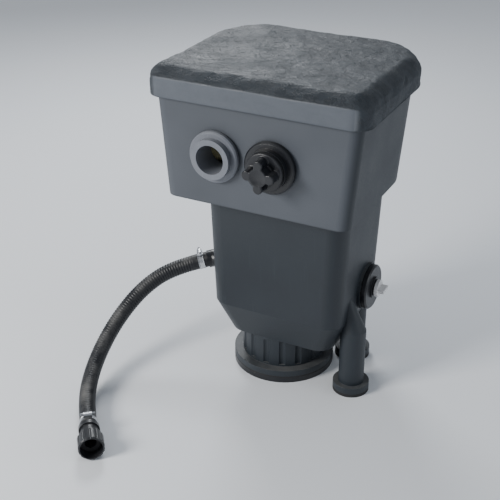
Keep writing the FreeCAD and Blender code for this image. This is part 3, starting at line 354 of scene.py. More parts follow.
brushed_metal, given, result = new_group(
    "brushed_metal",
    [("Light Colour", "Color", (0.7, 0.71, 0.73, 1)),
     ("Dark Colour", "Color", (0.42, 0.43, 0.45, 1)),
     ("Low Roughness", "Float", 0.22), ("High Roughness", "Float", 0.45)],
    [("Colour", "Color"), ("Roughness", "Float"), ("Height", "Float")])
where = node(brushed_metal, "ShaderNodeTexCoord").outputs["Object"]
lines = node(brushed_metal, "ShaderNodeTexNoise",
             {"Vector": node(brushed_metal, "ShaderNodeMapping",
                             {"Vector": where, "Scale": (2600, 500, 500)}).outputs[0],
              "Scale": 1.0, "Detail": 4.0}).outputs[0]
stains = node(brushed_metal, "ShaderNodeTexNoise", {"Vector": where, "Scale": 70.0,
                                                    "Detail": 4.0}).outputs[0]
tone = in_range(brushed_metal, plus(brushed_metal, times(brushed_metal, lines, 0.6),
                                    times(brushed_metal, stains, 0.4)), 0.36, 0.64)
brushed_metal.links.new(mix_colour(brushed_metal, tone, given.outputs["Dark Colour"],
                                   given.outputs["Light Colour"]), result.inputs["Colour"])
brushed_metal.links.new(
    node(brushed_metal, "ShaderNodeMapRange",
         {"Value": tone, "To Min": given.outputs["High Roughness"],
          "To Max": given.outputs["Low Roughness"]}).outputs[0], result.inputs["Roughness"])
brushed_metal.links.new(lines, result.inputs["Height"])

clamp_steel, tree, shader = new_material("clamp_steel")
steel = node(tree, "ShaderNodeGroup", node_tree=brushed_metal)
tree.links.new(steel.outputs["Colour"], shader.inputs["Base Color"])
tree.links.new(steel.outputs["Roughness"], shader.inputs["Roughness"])
tree.links.new(node(tree, "ShaderNodeBump", {"Height": steel.outputs["Height"], "Strength": 0.4,
                                             "Distance": 0.0001}).outputs[0],
               shader.inputs["Normal"])
shader.inputs["Metallic"].default_value = 1.0


def end_matrix(end, way):
    """Z along the hose and Y upwards, as the fitting sits."""
    up = (Vector((0, 0, 1)) - way * way.z).normalized()
    turn = Matrix((up.cross(way), up, way)).transposed().to_4x4()
    return Matrix.Translation(end) @ turn


def hose_clamp(name, end, way, bands):
    """A worm-drive clamp at one end of the hose; bands are the CAD nodes it stands for."""
    bm = bmesh.new()
    rim, groove = BAND_OUTER + RIM_LIFT, BAND_OUTER - GROOVE
    across = BAND_FROM_END + BAND_WIDTH / 2
    profile = [(BAND_INNER, 0.0), (rim, 0.0), (rim, RIM_WIDE), (groove, RIM_SLOPE),
               (groove, SLOT_FROM), (groove, BAND_WIDTH - SLOT_FROM),
               (groove, BAND_WIDTH - RIM_SLOPE), (rim, BAND_WIDTH - RIM_WIDE),
               (rim, BAND_WIDTH), (BAND_INNER, BAND_WIDTH)]
    rings = [[bm.verts.new((radius * math.cos(a), radius * math.sin(a), BAND_FROM_END + along))
              for radius, along in profile]
             for a in (2 * math.pi * j / BAND_SIDES for j in range(BAND_SIDES))]
    slots = []
    for j in range(BAND_SIDES):
        ring, following = rings[j], rings[(j + 1) % BAND_SIDES]
        for k in range(len(profile)):
            m = (k + 1) % len(profile)
            face = bm.faces.new((ring[k], following[k], following[m], ring[m]))
            turned = (360 * j / BAND_SIDES + 180) % 360
            if k == SLOT_ROW and j % 2 == 0 and abs(turned - 180) < SLOT_ARC / 2:
                slots.append(face)
    bmesh.ops.inset_individual(bm, faces=slots, thickness=SLOT_EDGE, depth=-SLOT_DEPTH)
    bm.normal_update()
    housing = bmesh.ops.create_cube(bm, size=1)["verts"]
    bmesh.ops.scale(bm, vec=(2 * HOUSING_HALF, HOUSING_HIGH, BAND_WIDTH - 0.001), verts=housing)
    bmesh.ops.translate(bm, vec=(0, rim + HOUSING_HIGH / 2 - HOUSING_SUNK, across), verts=housing)
    top = [e for e in {e for v in housing for e in v.link_edges}
           if abs(e.verts[0].co.x - e.verts[1].co.x) > HOUSING_HALF
           and e.verts[0].co.y > rim + HOUSING_HIGH / 2]
    bmesh.ops.bevel(bm, geom=top, offset=HOUSING_ROUND, segments=5, affect="EDGES", profile=0.5)
    thread = []
    for i in range(THREAD_TURNS * THREAD_STEPS + 1):
        x = (-SCREW_HALF + HEAD_LONG
             + (2 * SCREW_HALF - HEAD_LONG - 0.0005) * i / (THREAD_TURNS * THREAD_STEPS))
        radius = SCREW_RADIUS - 0.0006 - THREAD_DEPTH * (i % THREAD_STEPS in (0, 1))
        thread.append([bm.verts.new((x, SCREW_UP + radius * math.cos(a),
                                     across + radius * math.sin(a)))
                       for a in (2 * math.pi * j / THREAD_SIDES for j in range(THREAD_SIDES))])
    for ring, following in zip(thread, thread[1:]):
        for j in range(THREAD_SIDES):
            k = (j + 1) % THREAD_SIDES
            bm.faces.new((ring[j], following[j], following[k], ring[k]))
    bm.faces.new(thread[0])
    bm.faces.new(thread[-1][::-1])
    head_place = Matrix.Translation((-SCREW_HALF + HEAD_LONG / 2, SCREW_UP, across))
    head = bmesh.ops.create_cone(bm, segments=6, radius1=SCREW_RADIUS, radius2=SCREW_RADIUS,
                                 depth=HEAD_LONG, cap_ends=True,
                                 matrix=head_place @ Matrix.Rotation(math.pi / 2, 4, "Y"))["verts"]
    end_face = min({f for v in head for f in v.link_faces}, key=lambda f: f.calc_center_median().x)
    bmesh.ops.inset_region(bm, faces=[end_face], thickness=HEAD_RIM)
    bmesh.ops.translate(bm, vec=(HEAD_DISH, 0, 0), verts=end_face.verts)
    bmesh.ops.transform(bm, matrix=end_matrix(end, way), verts=bm.verts)
    clamp = finished(name, bm, 30)
    clamp.data.materials.append(clamp_steel)
    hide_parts(*bands)
    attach(clamp, "root")
    return clamp


hose_start, hose_end = Vector(HOSE_ROUTE[0]), Vector(HOSE_ROUTE[-1])
first_way = (Vector(HOSE_ROUTE[1]) - hose_start).normalized()
last_way = (hose_end - Vector(HOSE_ROUTE[-2])).normalized()
inlet_clamp = hose_clamp("inlet_hose_clamp", hose_start, first_way,
                         ["inlet_clamp_band", "inlet_clamp_screw"])
coupling_clamp = hose_clamp("coupling_hose_clamp", hose_end, -last_way,
                            ["coupling_clamp_band", "coupling_clamp_screw"])

# ---------------------------------------------------------------------------
# Fittings: black moulded bulkheads, nuts, plug, coupling and column parts,
# one grey port ring, white pipe parts, rubber seals and steel screws.
# ---------------------------------------------------------------------------
black_fitting = moulded("black_fitting", (0.007, 0.008, 0.011), (0.021, 0.023, 0.029), wear=0.5,
                        dust=0.07, shine=(0.24, 0.42), grain=620.0, depth=0.0003, patch=16.0)
grey_fitting = moulded("grey_fitting", (0.14, 0.15, 0.175), (0.25, 0.265, 0.295), wear=0.55,
                       dust=0.2, shine=(0.3, 0.52), grain=620.0, depth=0.0003, patch=16.0)
white_pipe = moulded("white_pipe", (0.80, 0.79, 0.80), (0.70, 0.68, 0.64), wear=0.6, dust=0.35,
                     shine=(0.16, 0.34), grain=260.0, depth=0.00012, patch=11.0, coat=0.25)
seal_rubber = moulded("seal_rubber", (0.010, 0.010, 0.011), (0.030, 0.030, 0.032), wear=0.6,
                      dust=0.15, shine=(0.6, 0.85), grain=1100.0, depth=0.0003, patch=26.0)
grate_plastic = moulded("grate_plastic", (0.020, 0.023, 0.030), (0.075, 0.082, 0.095), wear=0.75,
                        dust=0.3, shine=(0.4, 0.62), grain=480.0, depth=0.0004, patch=13.0)


def merged_copy(name, node_name):
    """A CAD node's mesh again with its loose triangles joined."""
    bm = bmesh.new()
    bm.from_mesh(nodes[node_name].data)
    bmesh.ops.remove_doubles(bm, verts=bm.verts, dist=1e-5)
    mesh = bpy.data.meshes.new(name)
    bm.to_mesh(mesh)
    bm.free()
    return link_mesh(name, mesh)


def keep_result(piece, modifier):
    """The piece keeps the modifier's result as a plain mesh."""
    bpy.context.view_layer.update()
    graph = bpy.context.evaluated_depsgraph_get()
    mesh = bpy.data.meshes.new_from_object(piece.evaluated_get(graph))
    piece.modifiers.remove(modifier)
    old = piece.data
    piece.data = mesh
    bpy.data.meshes.remove(old)


def with_modifier(piece, kind, **settings):
    """Applies one modifier to the piece's mesh."""
    modifier = piece.modifiers.new(kind.lower(), kind)
    for name, value in settings.items():
        setattr(modifier, name, value)
    keep_result(piece, modifier)


# The four-lobed plug knob has rounded lobes and rims, and a dished end.
KNOB_CELL, KNOB_SMOOTHING = 0.0011, 14
KNOB_DISH, DISH_RADIUS, KNOB_FACE = 0.0024, 0.017, 0.004
knob = merged_copy("lobed_port_plug", "port_plug")
with_modifier(knob, "REMESH", mode="VOXEL", voxel_size=KNOB_CELL)
with_modifier(knob, "SMOOTH", factor=0.5, iterations=KNOB_SMOOTHING)
knob_low, knob_high = (Vector(corner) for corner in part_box("port_plug"))
for v in knob.data.vertices:
    off_axis = math.hypot(v.co.x - (knob_low.x + knob_high.x) / 2,
                          v.co.z - (knob_low.z + knob_high.z) / 2)
    if v.co.y < knob_low.y + KNOB_FACE and off_axis < DISH_RADIUS:
        v.co.y += KNOB_DISH * (1 - (off_axis / DISH_RADIUS) ** 2)
with_modifier(knob, "TRIANGULATE")
knob.data.shade_smooth()
knob.data.materials.clear()
knob.data.materials.append(black_fitting)
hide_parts("port_plug")
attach(knob, "port_plug")

CARRIED_OVER = {
    black_fitting: ["sump_cap", "plugged_port_bulkhead", "plugged_port_nut", "outlet_bulkhead",
                    "outlet_nut", "discharge_nut", "inlet_bulkhead", "inlet_nut", "drain_bulkhead",
                    "drain_nut", "column_collar", "column_frame", "column_cap",
                    "hold_down_posts", "inlet_barb", "hose_coupling", "union_nut"],
    grey_fitting: ["discharge_bulkhead"],
    white_pipe: ["outlet_elbow", "drain_plug"],
    seal_rubber: ["sump_seal", "foot_pads", "discharge_gasket", "plugged_port_gasket",
                  "outlet_gasket", "inlet_gasket", "drain_gasket", "port_plug_ring",
                  "drain_plug_ring", "post_tips", "lid_seal", "union_washer"],
    clamp_steel: ["sump_screws"],
    grate_plastic: ["grate"],
}
for finish, names in CARRIED_OVER.items():
    for name in names:
        nodes[name].data.materials.clear()
        nodes[name].data.materials.append(finish)

# ---------------------------------------------------------------------------
# Tank: one charcoal polyethylene moulding. Painted light: the front face of its upper band,
# with the port panel, is painted greyer and paler than the tapered body under it.
# ---------------------------------------------------------------------------
BAND_LOW, BAND_FRONT = 0.447, -0.176

tank_plastic = moulded("tank_plastic", (0.012, 0.017, 0.023), (0.031, 0.040, 0.051), wear=0.6,
                       dust=0.25, shine=(0.36, 0.58), grain=420.0, depth=0.0006, patch=5.0)
tree = tank_plastic.node_tree
shader = tree.nodes["Principled BSDF"]
surface = next(n for n in tree.nodes if n.type == "GROUP")
place = node(tree, "ShaderNodeSeparateXYZ",
             {0: node(tree, "ShaderNodeTexCoord").outputs["Object"]}).outputs
facing = node(tree, "ShaderNodeSeparateXYZ",
              {0: node(tree, "ShaderNodeNewGeometry").outputs["Normal"]}).outputs
# Painted light: the front-facing upper band is painted paler, in uneven patches, as if lit.
panel = times(tree, in_range(tree, place[2], BAND_LOW - 0.002, BAND_LOW + 0.004),
              times(tree, in_range(tree, facing[1], -0.55, -0.95),
                    in_range(tree, place[1], BAND_FRONT + 0.012, BAND_FRONT)))
painted_light_patches = node(tree, "ShaderNodeTexNoise", {"Scale": 7.0, "Detail": 2.0,
             "Vector": node(tree, "ShaderNodeTexCoord").outputs["Object"]}).outputs[0]
paler = mix_colour(tree, times(tree, panel, in_range(tree, painted_light_patches, 0.3, 0.7, 0.75, 1.0)),
                   surface.outputs["Colour"], (0.072, 0.081, 0.097, 1))
tree.links.new(paler, shader.inputs["Base Color"])
nodes["tank_shell"].data.materials.clear()
nodes["tank_shell"].data.materials.append(tank_plastic)

# ---------------------------------------------------------------------------
# Lid: a moulded cover that looks like split slate, with a smooth paler skirt
# along the front. It hangs over the tank's lip and lifts straight off.
# ---------------------------------------------------------------------------
HALF_WIDTH, HALF_DEPTH = 0.223, 0.186
FRONT_CORNER, BACK_CORNER = 0.024, 0.110
LID_OVER, LID_INSIDE, LID_LEDGE = 0.015, 0.010, -0.016
LID_LOW, LEDGE_HIGH, EDGE_HIGH, LID_TOP, CEILING = 0.662, 0.6925, 0.7045, 0.7265, 0.7185
CROWN_INSET, ROUGH_OUT, CROWN_DOWN = 0.034, 0.0026, 0.0053
SKIRT_HIGH, BREAK_LOW = 0.690, 0.6915
SKIRT_RINGS, BREAK_RINGS, CROWN_RINGS, TOP_RINGS = 8, 5, 18, 92
SKIRT_FADE_FROM, SKIRT_FADE = 0.020, 0.014


def d_outline(over, front_corner=None, back_corner=None):
    """The tank's plan grown by over: a straight front and large back corners."""
    w, d = HALF_WIDTH + over, HALF_DEPTH + over
    rf = max(0.004, FRONT_CORNER + over) if front_corner is None else front_corner
    rb = BACK_CORNER + over if back_corner is None else back_corner
    corners = [((w - rf, -d + rf), rf, -90, 12), ((w - rb, d - rb), rb, 0, 44),
               ((-w + rb, d - rb), rb, 90, 44), ((-w + rf, -d + rf), rf, 180, 12)]
    side_steps = [64, 40, 108, 64]
    points = []
    for n, ((cx, cy), radius, start, steps) in enumerate(corners):
        arc = [(cx + radius * math.cos(math.radians(start + 90 * i / steps)),
                cy + radius * math.sin(math.radians(start + 90 * i / steps)))
               for i in range(steps + 1)]
        centre, next_radius, next_start = corners[(n + 1) % 4][:3]
        begin = (centre[0] + next_radius * math.cos(math.radians(next_start)),
                 centre[1] + next_radius * math.sin(math.radians(next_start)))
        count = side_steps[n]
        points += arc
        points += [(arc[-1][0] + (begin[0] - arc[-1][0]) * i / count,
                    arc[-1][1] + (begin[1] - arc[-1][1]) * i / count) for i in range(1, count)]
    return points


def slate(x, y, z):
    """0 to 1: broad split layers with sharp steps, then ripples and grit."""
    broad = noise.fractal(Vector((x * 7.0, y * 11.0, z * 6)) + Vector((3.1, 1.7, 0)), 0.8, 2.1, 5)
    level = min(0.999, max(0.0, 0.5 + 0.80 * broad)) * 6
    step = math.floor(level)
    rise = min(1.0, (level - step) / 0.20)
    layered = (step + rise * rise * (3 - 2 * rise)) / 6
    ripple = noise.fractal(Vector((x * 30, y * 22, z * 30)), 1.0, 2.0, 3)
    grit = noise.noise(Vector((x * 170, y * 170, z * 170)))
    return min(1.0, max(0.0, 0.12 + 0.74 * layered + 0.13 * ripple + 0.05 * grit))


def facets(x, y, z):
    """0 to 1: flat broken faces round the edge."""
    near = noise.voronoi(Vector((x * 17, y * 17, z * 26)))[0]
    return min(1.0, max(0.0, 1.15 * near[0] + 0.25 * noise.noise(Vector((x * 60, y * 60, z * 60)))))


bm = bmesh.new()
rings = []


def add_ring(over, height, rough_out=0.0, rough_down=0.0, toward_centre=1.0):
    """One ring of the lid; rough_out and rough_down say how deep the stone texture is."""
    ring = []
    for x, y in d_outline(over):
        x, y = x * toward_centre, y * toward_centre
        z = height
        front = max(0.0, min(1.0, (-y - (HALF_DEPTH + LID_OVER - SKIRT_FADE_FROM)) / SKIRT_FADE))
        if rough_out:
            away = Vector((x, y)).normalized()
            pull = rough_out * facets(x, y, z) * (1 - front)
            x, y = x - away.x * pull, y - away.y * pull
        if rough_down:
            z -= rough_down * (1 - slate(x, y, z))
        ring.append(bm.verts.new((x, y, z)))
    rings.append(ring)


add_ring(LID_LEDGE, CEILING)
add_ring(LID_LEDGE, LEDGE_HIGH)
add_ring(LID_INSIDE, LEDGE_HIGH)
add_ring(LID_INSIDE, LID_LOW + 0.001)
add_ring(LID_INSIDE + 0.001, LID_LOW)
add_ring(LID_OVER - 0.0015, LID_LOW)
for k in range(SKIRT_RINGS + 1):
    add_ring(LID_OVER - (0.0004 if k == 0 else 0),
             LID_LOW + 0.0015 + (SKIRT_HIGH - LID_LOW) * k / SKIRT_RINGS, ROUGH_OUT)
for k in range(1, BREAK_RINGS + 1):
    add_ring(LID_OVER, BREAK_LOW + (EDGE_HIGH - BREAK_LOW) * k / BREAK_RINGS,
             ROUGH_OUT + 0.0012 * k, 0.0004 * k)
for k in range(1, CROWN_RINGS + 1):
    rise = math.sin(math.pi / 2 * k / CROWN_RINGS) ** 0.9
    add_ring(LID_OVER - CROWN_INSET * k / CROWN_RINGS, EDGE_HIGH + (LID_TOP - EDGE_HIGH) * rise,
             0.0086 - 0.0004 * k, 0.0020 + 0.00018 * k)
for k in range(1, TOP_RINGS):
    add_ring(LID_OVER - CROWN_INSET, LID_TOP, 0.0014 * max(0, 1 - k / 6), CROWN_DOWN,
             1 - k / TOP_RINGS)
bridge_rings(bm, zip(rings, rings[1:]))
crown_centre = bm.verts.new((0, 0, LID_TOP - CROWN_DOWN * (1 - slate(0, 0, LID_TOP))))
for j in range(len(rings[-1])):
    bm.faces.new((rings[-1][j], rings[-1][(j + 1) % len(rings[-1])], crown_centre))
bm.faces.new(rings[0][::-1])
lid_cover = finished("slate_lid", bm, 50)

SLATE_LEVELS, SLATE_STEP = 18.0, 0.0140
slate_finish = moulded("slate_finish", (0.014, 0.020, 0.027), (0.034, 0.044, 0.055), wear=0.9,
                       dust=0.10, shine=(0.42, 0.72), grain=300.0, depth=SLATE_STEP, patch=14.0)
tree = slate_finish.node_tree
shader = tree.nodes["Principled BSDF"]
surface = next(n for n in tree.nodes if n.type == "GROUP")
where = node(tree, "ShaderNodeTexCoord").outputs["Object"]
place = node(tree, "ShaderNodeSeparateXYZ", {0: where}).outputs
facing = node(tree, "ShaderNodeSeparateXYZ",
              {0: node(tree, "ShaderNodeNewGeometry").outputs["Normal"]}).outputs
veins = node(tree, "ShaderNodeTexNoise",
             {"Vector": node(tree, "ShaderNodeMapping", {"Vector": where, "Rotation": (0, 0, 0.35),
                                                         "Scale": (26, 80, 46)}).outputs[0],
              "Scale": 1.0, "Detail": 8.0, "Roughness": 0.7,
              "Distortion": 0.5}).outputs[0]
broad = node(tree, "ShaderNodeTexNoise",
             {"Vector": node(tree, "ShaderNodeMapping", {"Vector": where, "Rotation": (0, 0, 0.2),
                                                         "Scale": (9, 17, 13)}).outputs[0],
              "Scale": 1.0, "Detail": 7.0, "Roughness": 0.58}).outputs[0]
count = times(tree, broad, SLATE_LEVELS)
level = node(tree, "ShaderNodeMath", {0: count}, operation="FLOOR").outputs[0]
part = node(tree, "ShaderNodeMath", {0: count}, operation="FRACT").outputs[0]
layered = times(tree, plus(tree, level, in_range(tree, part, 0.0, 0.16)), 1 / SLATE_LEVELS)
shade = node(tree, "ShaderNodeMath", {0: times(tree, level, 0.37)}, operation="FRACT").outputs[0]
# Painted shadow: a dark band is painted at the foot of every slate step.
painted_step_shadow = in_range(tree, part, 0.17, 0.02)
# Painted light and shade: the lid is painted lighter on its raised places and darker in its dips;
# each slate layer also gets its own random tone.
high = in_range(tree, place[2], LID_TOP - 0.0055, LID_TOP)
stone = mix_colour(tree, in_range(tree, veins, 0.40, 0.70), surface.outputs["Colour"],
                   (0.010, 0.014, 0.020, 1))
painted_relief_light_and_layer_tone = plus(tree, times(tree, high, 0.5), times(tree, shade, 0.5))
stone = mix_colour(tree, times(tree, painted_relief_light_and_layer_tone, 0.55), stone, (0.050, 0.063, 0.077, 1))
stone = mix_colour(tree, times(tree, painted_step_shadow, 0.45), stone, (0.007, 0.010, 0.014, 1))
skirt = times(tree, in_range(tree, facing[1], -0.80, -0.96),
              in_range(tree, place[1], -HALF_DEPTH - 0.008, -HALF_DEPTH - 0.013))
tree.links.new(mix_colour(tree, times(tree, skirt, in_range(tree, veins, 0.3, 0.8, 0.95, 0.75)),
                          stone, (0.095, 0.107, 0.127, 1)), shader.inputs["Base Color"])
for n in tree.nodes:
    if n.type == "BUMP":
        ground = plus(tree, times(tree, surface.outputs["Height"], 0.04), times(tree, veins, 0.16))
        tree.links.new(times(tree, plus(tree, ground, layered),
                             in_range(tree, skirt, 0.0, 1.0, 1.0, 0.03)), n.inputs["Height"])
        n.inputs["Strength"].default_value = 1.0
lid_cover.data.materials.append(slate_finish)
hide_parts("lid")
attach(lid_cover, "lid")

# ---------------------------------------------------------------------------
# Foam pad: a sheet of cream open-cell filter foam with a wavy cut front edge.
# The posts press on it and keep it over the media.
# ---------------------------------------------------------------------------
FOAM_VOXEL, FOAM_WAVE, FOAM_SINK, FOAM_THICK = 0.0045, 0.055, 0.0030, 0.042
POST_PLACES = [(x, y) for x in (-0.125, 0.125) for y in (-0.076, 0.076)]
POST_DENT, POST_RADIUS, POST_REACH = 0.0016, 0.013, 0.022

foam = merged_copy("foam_sheet", "foam_pad")
with_modifier(foam, "REMESH", mode="VOXEL", voxel_size=FOAM_VOXEL)
with_modifier(foam, "SMOOTH", factor=0.5, iterations=4)
foam_low, foam_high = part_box("foam_pad")
middle = (foam_low.z + foam_high.z) / 2
normals = [v.normal.copy() for v in foam.data.vertices]
for v, away in zip(foam.data.vertices, normals):
    rough = 0.5 + 0.5 * noise.noise(v.co * 34)
    cells = noise.noise(v.co * 210)
    sink = 0.0008 + 0.0010 * rough + 0.0007 * (cells + 0.5)
    if away.y < -0.4:
        lean = 5 * (v.co.z - middle) / FOAM_THICK
        sink += FOAM_SINK * (0.5 + 0.5 * math.sin(2 * math.pi * v.co.x / FOAM_WAVE + lean))
    if away.z > 0.6:
        for post_x, post_y in POST_PLACES:
            gap = Vector((v.co.x - post_x, v.co.y - post_y)).length
            sink += POST_DENT * max(0.0, 1 - max(0.0, gap - POST_RADIUS) / POST_REACH)
    v.co -= away * sink
foam.data.shade_smooth()

foam_cells, tree, shader = new_material("foam_cells")
where = node(tree, "ShaderNodeTexCoord").outputs["Object"]
pores = node(tree, "ShaderNodeTexVoronoi", {"Vector": where, "Scale": 420.0}).outputs["Distance"]
tone = node(tree, "ShaderNodeTexNoise", {"Vector": where, "Scale": 12.0, "Detail": 5.0}).outputs[0]
cream = mix_colour(tree, in_range(tree, tone, 0.35, 0.68), (0.80, 0.75, 0.46, 1),
                   (0.70, 0.62, 0.34, 1))
# Painted shade: the cream is painted darker down in each pore.
tree.links.new(mix_colour(tree, in_range(tree, pores, 0.10, 0.45), (0.36, 0.32, 0.18, 1), cream),
               shader.inputs["Base Color"])
tree.links.new(node(tree, "ShaderNodeBump",
                    {"Height": pores, "Strength": 0.9, "Distance": 0.0012}).outputs[0],
               shader.inputs["Normal"])
tree.links.new(in_range(tree, tone, 0.3, 0.7, 0.86, 0.98), shader.inputs["Roughness"])
shader.inputs["Sheen Weight"].default_value = 0.25
foam.data.materials.append(foam_cells)
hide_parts("foam_pad")
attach(foam, "foam")

# ---------------------------------------------------------------------------
# Ribbon media: a loose bundle of crinkled green plastic ribbon, 5 mm wide, that
# fills the tank round the column. An inset sheet, painted darker as shade, shows between the
# strands.
# ---------------------------------------------------------------------------
RIBBON_COUNT_PER_AREA, RIBBON_LENGTH, RIBBON_WIDTH = 4300.0, 0.088, 0.0052
RIBBON_POINTS, RIBBON_SEED, SIZE_SEED, TINT_SEED, LONGEST_STEP = 22, 7, 11, 23, 0.0145
RIBBON_CURL, RIBBON_WOBBLE, RIBBON_TWIST, CORE_INSET = 0.055, 0.016, 9.0, 0.0065
MEDIA_VOXEL, MEDIA_LUMP = 0.009, 0.0055

ribbon_plastic, tree, shader = new_material("ribbon_plastic")
shade = node(tree, "ShaderNodeAttribute", attribute_name="ribbon_shade").outputs["Fac"]
where = node(tree, "ShaderNodeTexCoord").outputs["Object"]
streak = node(tree, "ShaderNodeTexNoise",
              {"Vector": where, "Scale": 90.0, "Detail": 3.0}).outputs[0]
green = mix_colour(tree, shade, (0.060, 0.245, 0.085, 1), (0.36, 0.62, 0.36, 1))
tree.links.new(mix_colour(tree, in_range(tree, streak, 0.35, 0.75), green, (0.14, 0.42, 0.17, 1)),
               shader.inputs["Base Color"])
tree.links.new(in_range(tree, streak, 0.3, 0.7, 0.28, 0.5), shader.inputs["Roughness"])
tree.links.new(node(tree, "ShaderNodeBump",
                    {"Height": streak, "Strength": 0.3, "Distance": 0.0004}).outputs[0],
               shader.inputs["Normal"])
# Painted shade: the inner sheet is painted darker than the ribbons, as the shade between the
# strands.
painted_shade_tangle, tree, shader = new_material("ribbon_tangle")
where = node(tree, "ShaderNodeTexCoord").outputs["Object"]
knots = node(tree, "ShaderNodeTexNoise", {"Vector": where, "Scale": 60.0, "Detail": 6.0,
                                          "Distortion": 2.0}).outputs[0]
tree.links.new(mix_colour(tree, in_range(tree, knots, 0.4, 0.62), (0.012, 0.060, 0.020, 1),
                          (0.07, 0.26, 0.09, 1)), shader.inputs["Base Color"])
tree.links.new(node(tree, "ShaderNodeBump",
                    {"Height": knots, "Strength": 1.0, "Distance": 0.004}).outputs[0],
               shader.inputs["Normal"])
tree.links.new(in_range(tree, knots, 0.3, 0.7, 0.8, 0.55), shader.inputs["Roughness"])

media_tree = bpy.data.node_groups.new("crinkled_ribbons", "GeometryNodeTree")
for label, kind, value in [("Geometry", "Geometry", None), ("Ribbons Per Area", "Float", 1.0),
                           ("Ribbon Length", "Float", 0.1), ("Ribbon Width", "Float", 0.005),
                           ("Points", "Int", 20), ("Seed", "Int", 0)]:
    socket = media_tree.interface.new_socket(name=label, in_out="INPUT",
                                             socket_type="NodeSocket" + kind)
    if value is not None:
        socket.default_value = value
media_tree.interface.new_socket(name="Geometry", in_out="OUTPUT", socket_type="NodeSocketGeometry")
t = media_tree
given = t.nodes.new("NodeGroupInput")
result = t.nodes.new("NodeGroupOutput")
body = given.outputs["Geometry"]
spots = node(t, "GeometryNodeDistributePointsOnFaces",
             {"Mesh": body, "Density": given.outputs["Ribbons Per Area"],
              "Seed": given.outputs["Seed"]})
half = node(t, "ShaderNodeMath", {0: given.outputs["Ribbon Length"], 1: 0.5},
            operation="MULTIPLY").outputs[0]
minus_half = node(t, "ShaderNodeMath", {0: half, 1: -1.0}, operation="MULTIPLY").outputs[0]
line = node(t, "GeometryNodeCurvePrimitiveLine",
            {"Start": node(t, "ShaderNodeCombineXYZ", {0: minus_half}).outputs[0],
             "End": node(t, "ShaderNodeCombineXYZ", {0: half}).outputs[0]}).outputs[0]
line = node(t, "GeometryNodeResampleCurve",
            {"Curve": line, "Count": given.outputs["Points"]}).outputs[0]
spin = node(t, "FunctionNodeRandomValue", {"Seed": given.outputs["Seed"]}, data_type="FLOAT")
spin.inputs[3].default_value = 2 * math.pi
spun = node(t, "FunctionNodeRotateRotation",
            {"Rotation": spots.outputs["Rotation"],
             "Rotate By": node(t, "FunctionNodeAxisAngleToRotation",
                               {"Axis": (0, 0, 1), "Angle": spin.outputs[1]}).outputs[0]},
            rotation_space="LOCAL").outputs[0]
size = node(t, "FunctionNodeRandomValue", data_type="FLOAT")
size.inputs[2].default_value, size.inputs[3].default_value = 0.55, 1.25
size.inputs["Seed"].default_value = SIZE_SEED
strands = node(t, "GeometryNodeInstanceOnPoints",
               {"Points": spots.outputs["Points"], "Instance": line, "Rotation": spun,
                "Scale": size.outputs[1]}).outputs[0]
tint = node(t, "FunctionNodeRandomValue", data_type="FLOAT")
tint.inputs["Seed"].default_value = TINT_SEED
strands = node(t, "GeometryNodeStoreNamedAttribute",
               {"Geometry": strands, "Name": "ribbon_shade", "Value": tint.outputs[1]},
               data_type="FLOAT", domain="INSTANCE").outputs[0]
strands = node(t, "GeometryNodeRealizeInstances", {0: strands}).outputs[0]
at = node(t, "GeometryNodeInputPosition").outputs[0]


def shaken(scale, reach):
    """A noise offset of each point, up to about half of reach each way."""
    offset = node(t, "ShaderNodeTexNoise", {"Vector": at, "Scale": scale, "Detail": 2.0})
    offset = node(t, "ShaderNodeVectorMath", {0: offset.outputs["Color"], 1: (0.5, 0.5, 0.5)},
                  operation="SUBTRACT").outputs[0]
    return node(t, "ShaderNodeVectorMath", {0: offset, "Scale": reach},
                operation="SCALE").outputs[0]


curl = shaken(26.0, RIBBON_CURL)
strands = node(t, "GeometryNodeSetPosition", {"Geometry": strands, "Offset": curl}).outputs[0]
nearest = node(t, "GeometryNodeProximity", {0: body}, target_element="FACES").outputs[0]
wobble = shaken(75.0, RIBBON_WOBBLE)
strands = node(t, "GeometryNodeSetPosition", {"Geometry": strands, "Position": nearest,
                                              "Offset": wobble}).outputs[0]
twist = node(t, "ShaderNodeTexNoise", {"Vector": at, "Scale": 30.0}).outputs[0]
strands = node(t, "GeometryNodeSetCurveTilt",
               {0: strands, "Tilt": node(t, "ShaderNodeMath", {0: twist, 1: RIBBON_TWIST},
                                         operation="MULTIPLY").outputs[0]}).outputs[0]
half_width = node(t, "ShaderNodeMath", {0: given.outputs["Ribbon Width"], 1: 0.5},
                  operation="MULTIPLY").outputs[0]
other_half = node(t, "ShaderNodeMath", {0: half_width, 1: -1.0}, operation="MULTIPLY").outputs[0]
flat = node(t, "GeometryNodeCurvePrimitiveLine",
            {"Start": node(t, "ShaderNodeCombineXYZ", {0: other_half}).outputs[0],
             "End": node(t, "ShaderNodeCombineXYZ", {0: half_width}).outputs[0]}).outputs[0]
ribbons = node(t, "GeometryNodeCurveToMesh", {"Curve": strands, "Profile Curve": flat}).outputs[0]
ribbons = node(t, "GeometryNodeSetShadeSmooth", {0: ribbons}).outputs[0]
ribbons = node(t, "GeometryNodeSetMaterial",
               {"Geometry": ribbons, "Material": ribbon_plastic}).outputs[0]
inward = node(t, "ShaderNodeVectorMath", {0: node(t, "GeometryNodeInputNormal").outputs[0],
                                          "Scale": -CORE_INSET}, operation="SCALE").outputs[0]
core = node(t, "GeometryNodeSetPosition", {"Geometry": body, "Offset": inward}).outputs[0]
core = node(t, "GeometryNodeSetMaterial", {"Geometry": core, "Material": painted_shade_tangle}).outputs[0]
joined = node(t, "GeometryNodeJoinGeometry")
t.links.new(ribbons, joined.inputs[0])
t.links.new(core, joined.inputs[0])
t.links.new(node(t, "GeometryNodeRealizeInstances", {0: joined.outputs[0]}).outputs[0],
            result.inputs[0])


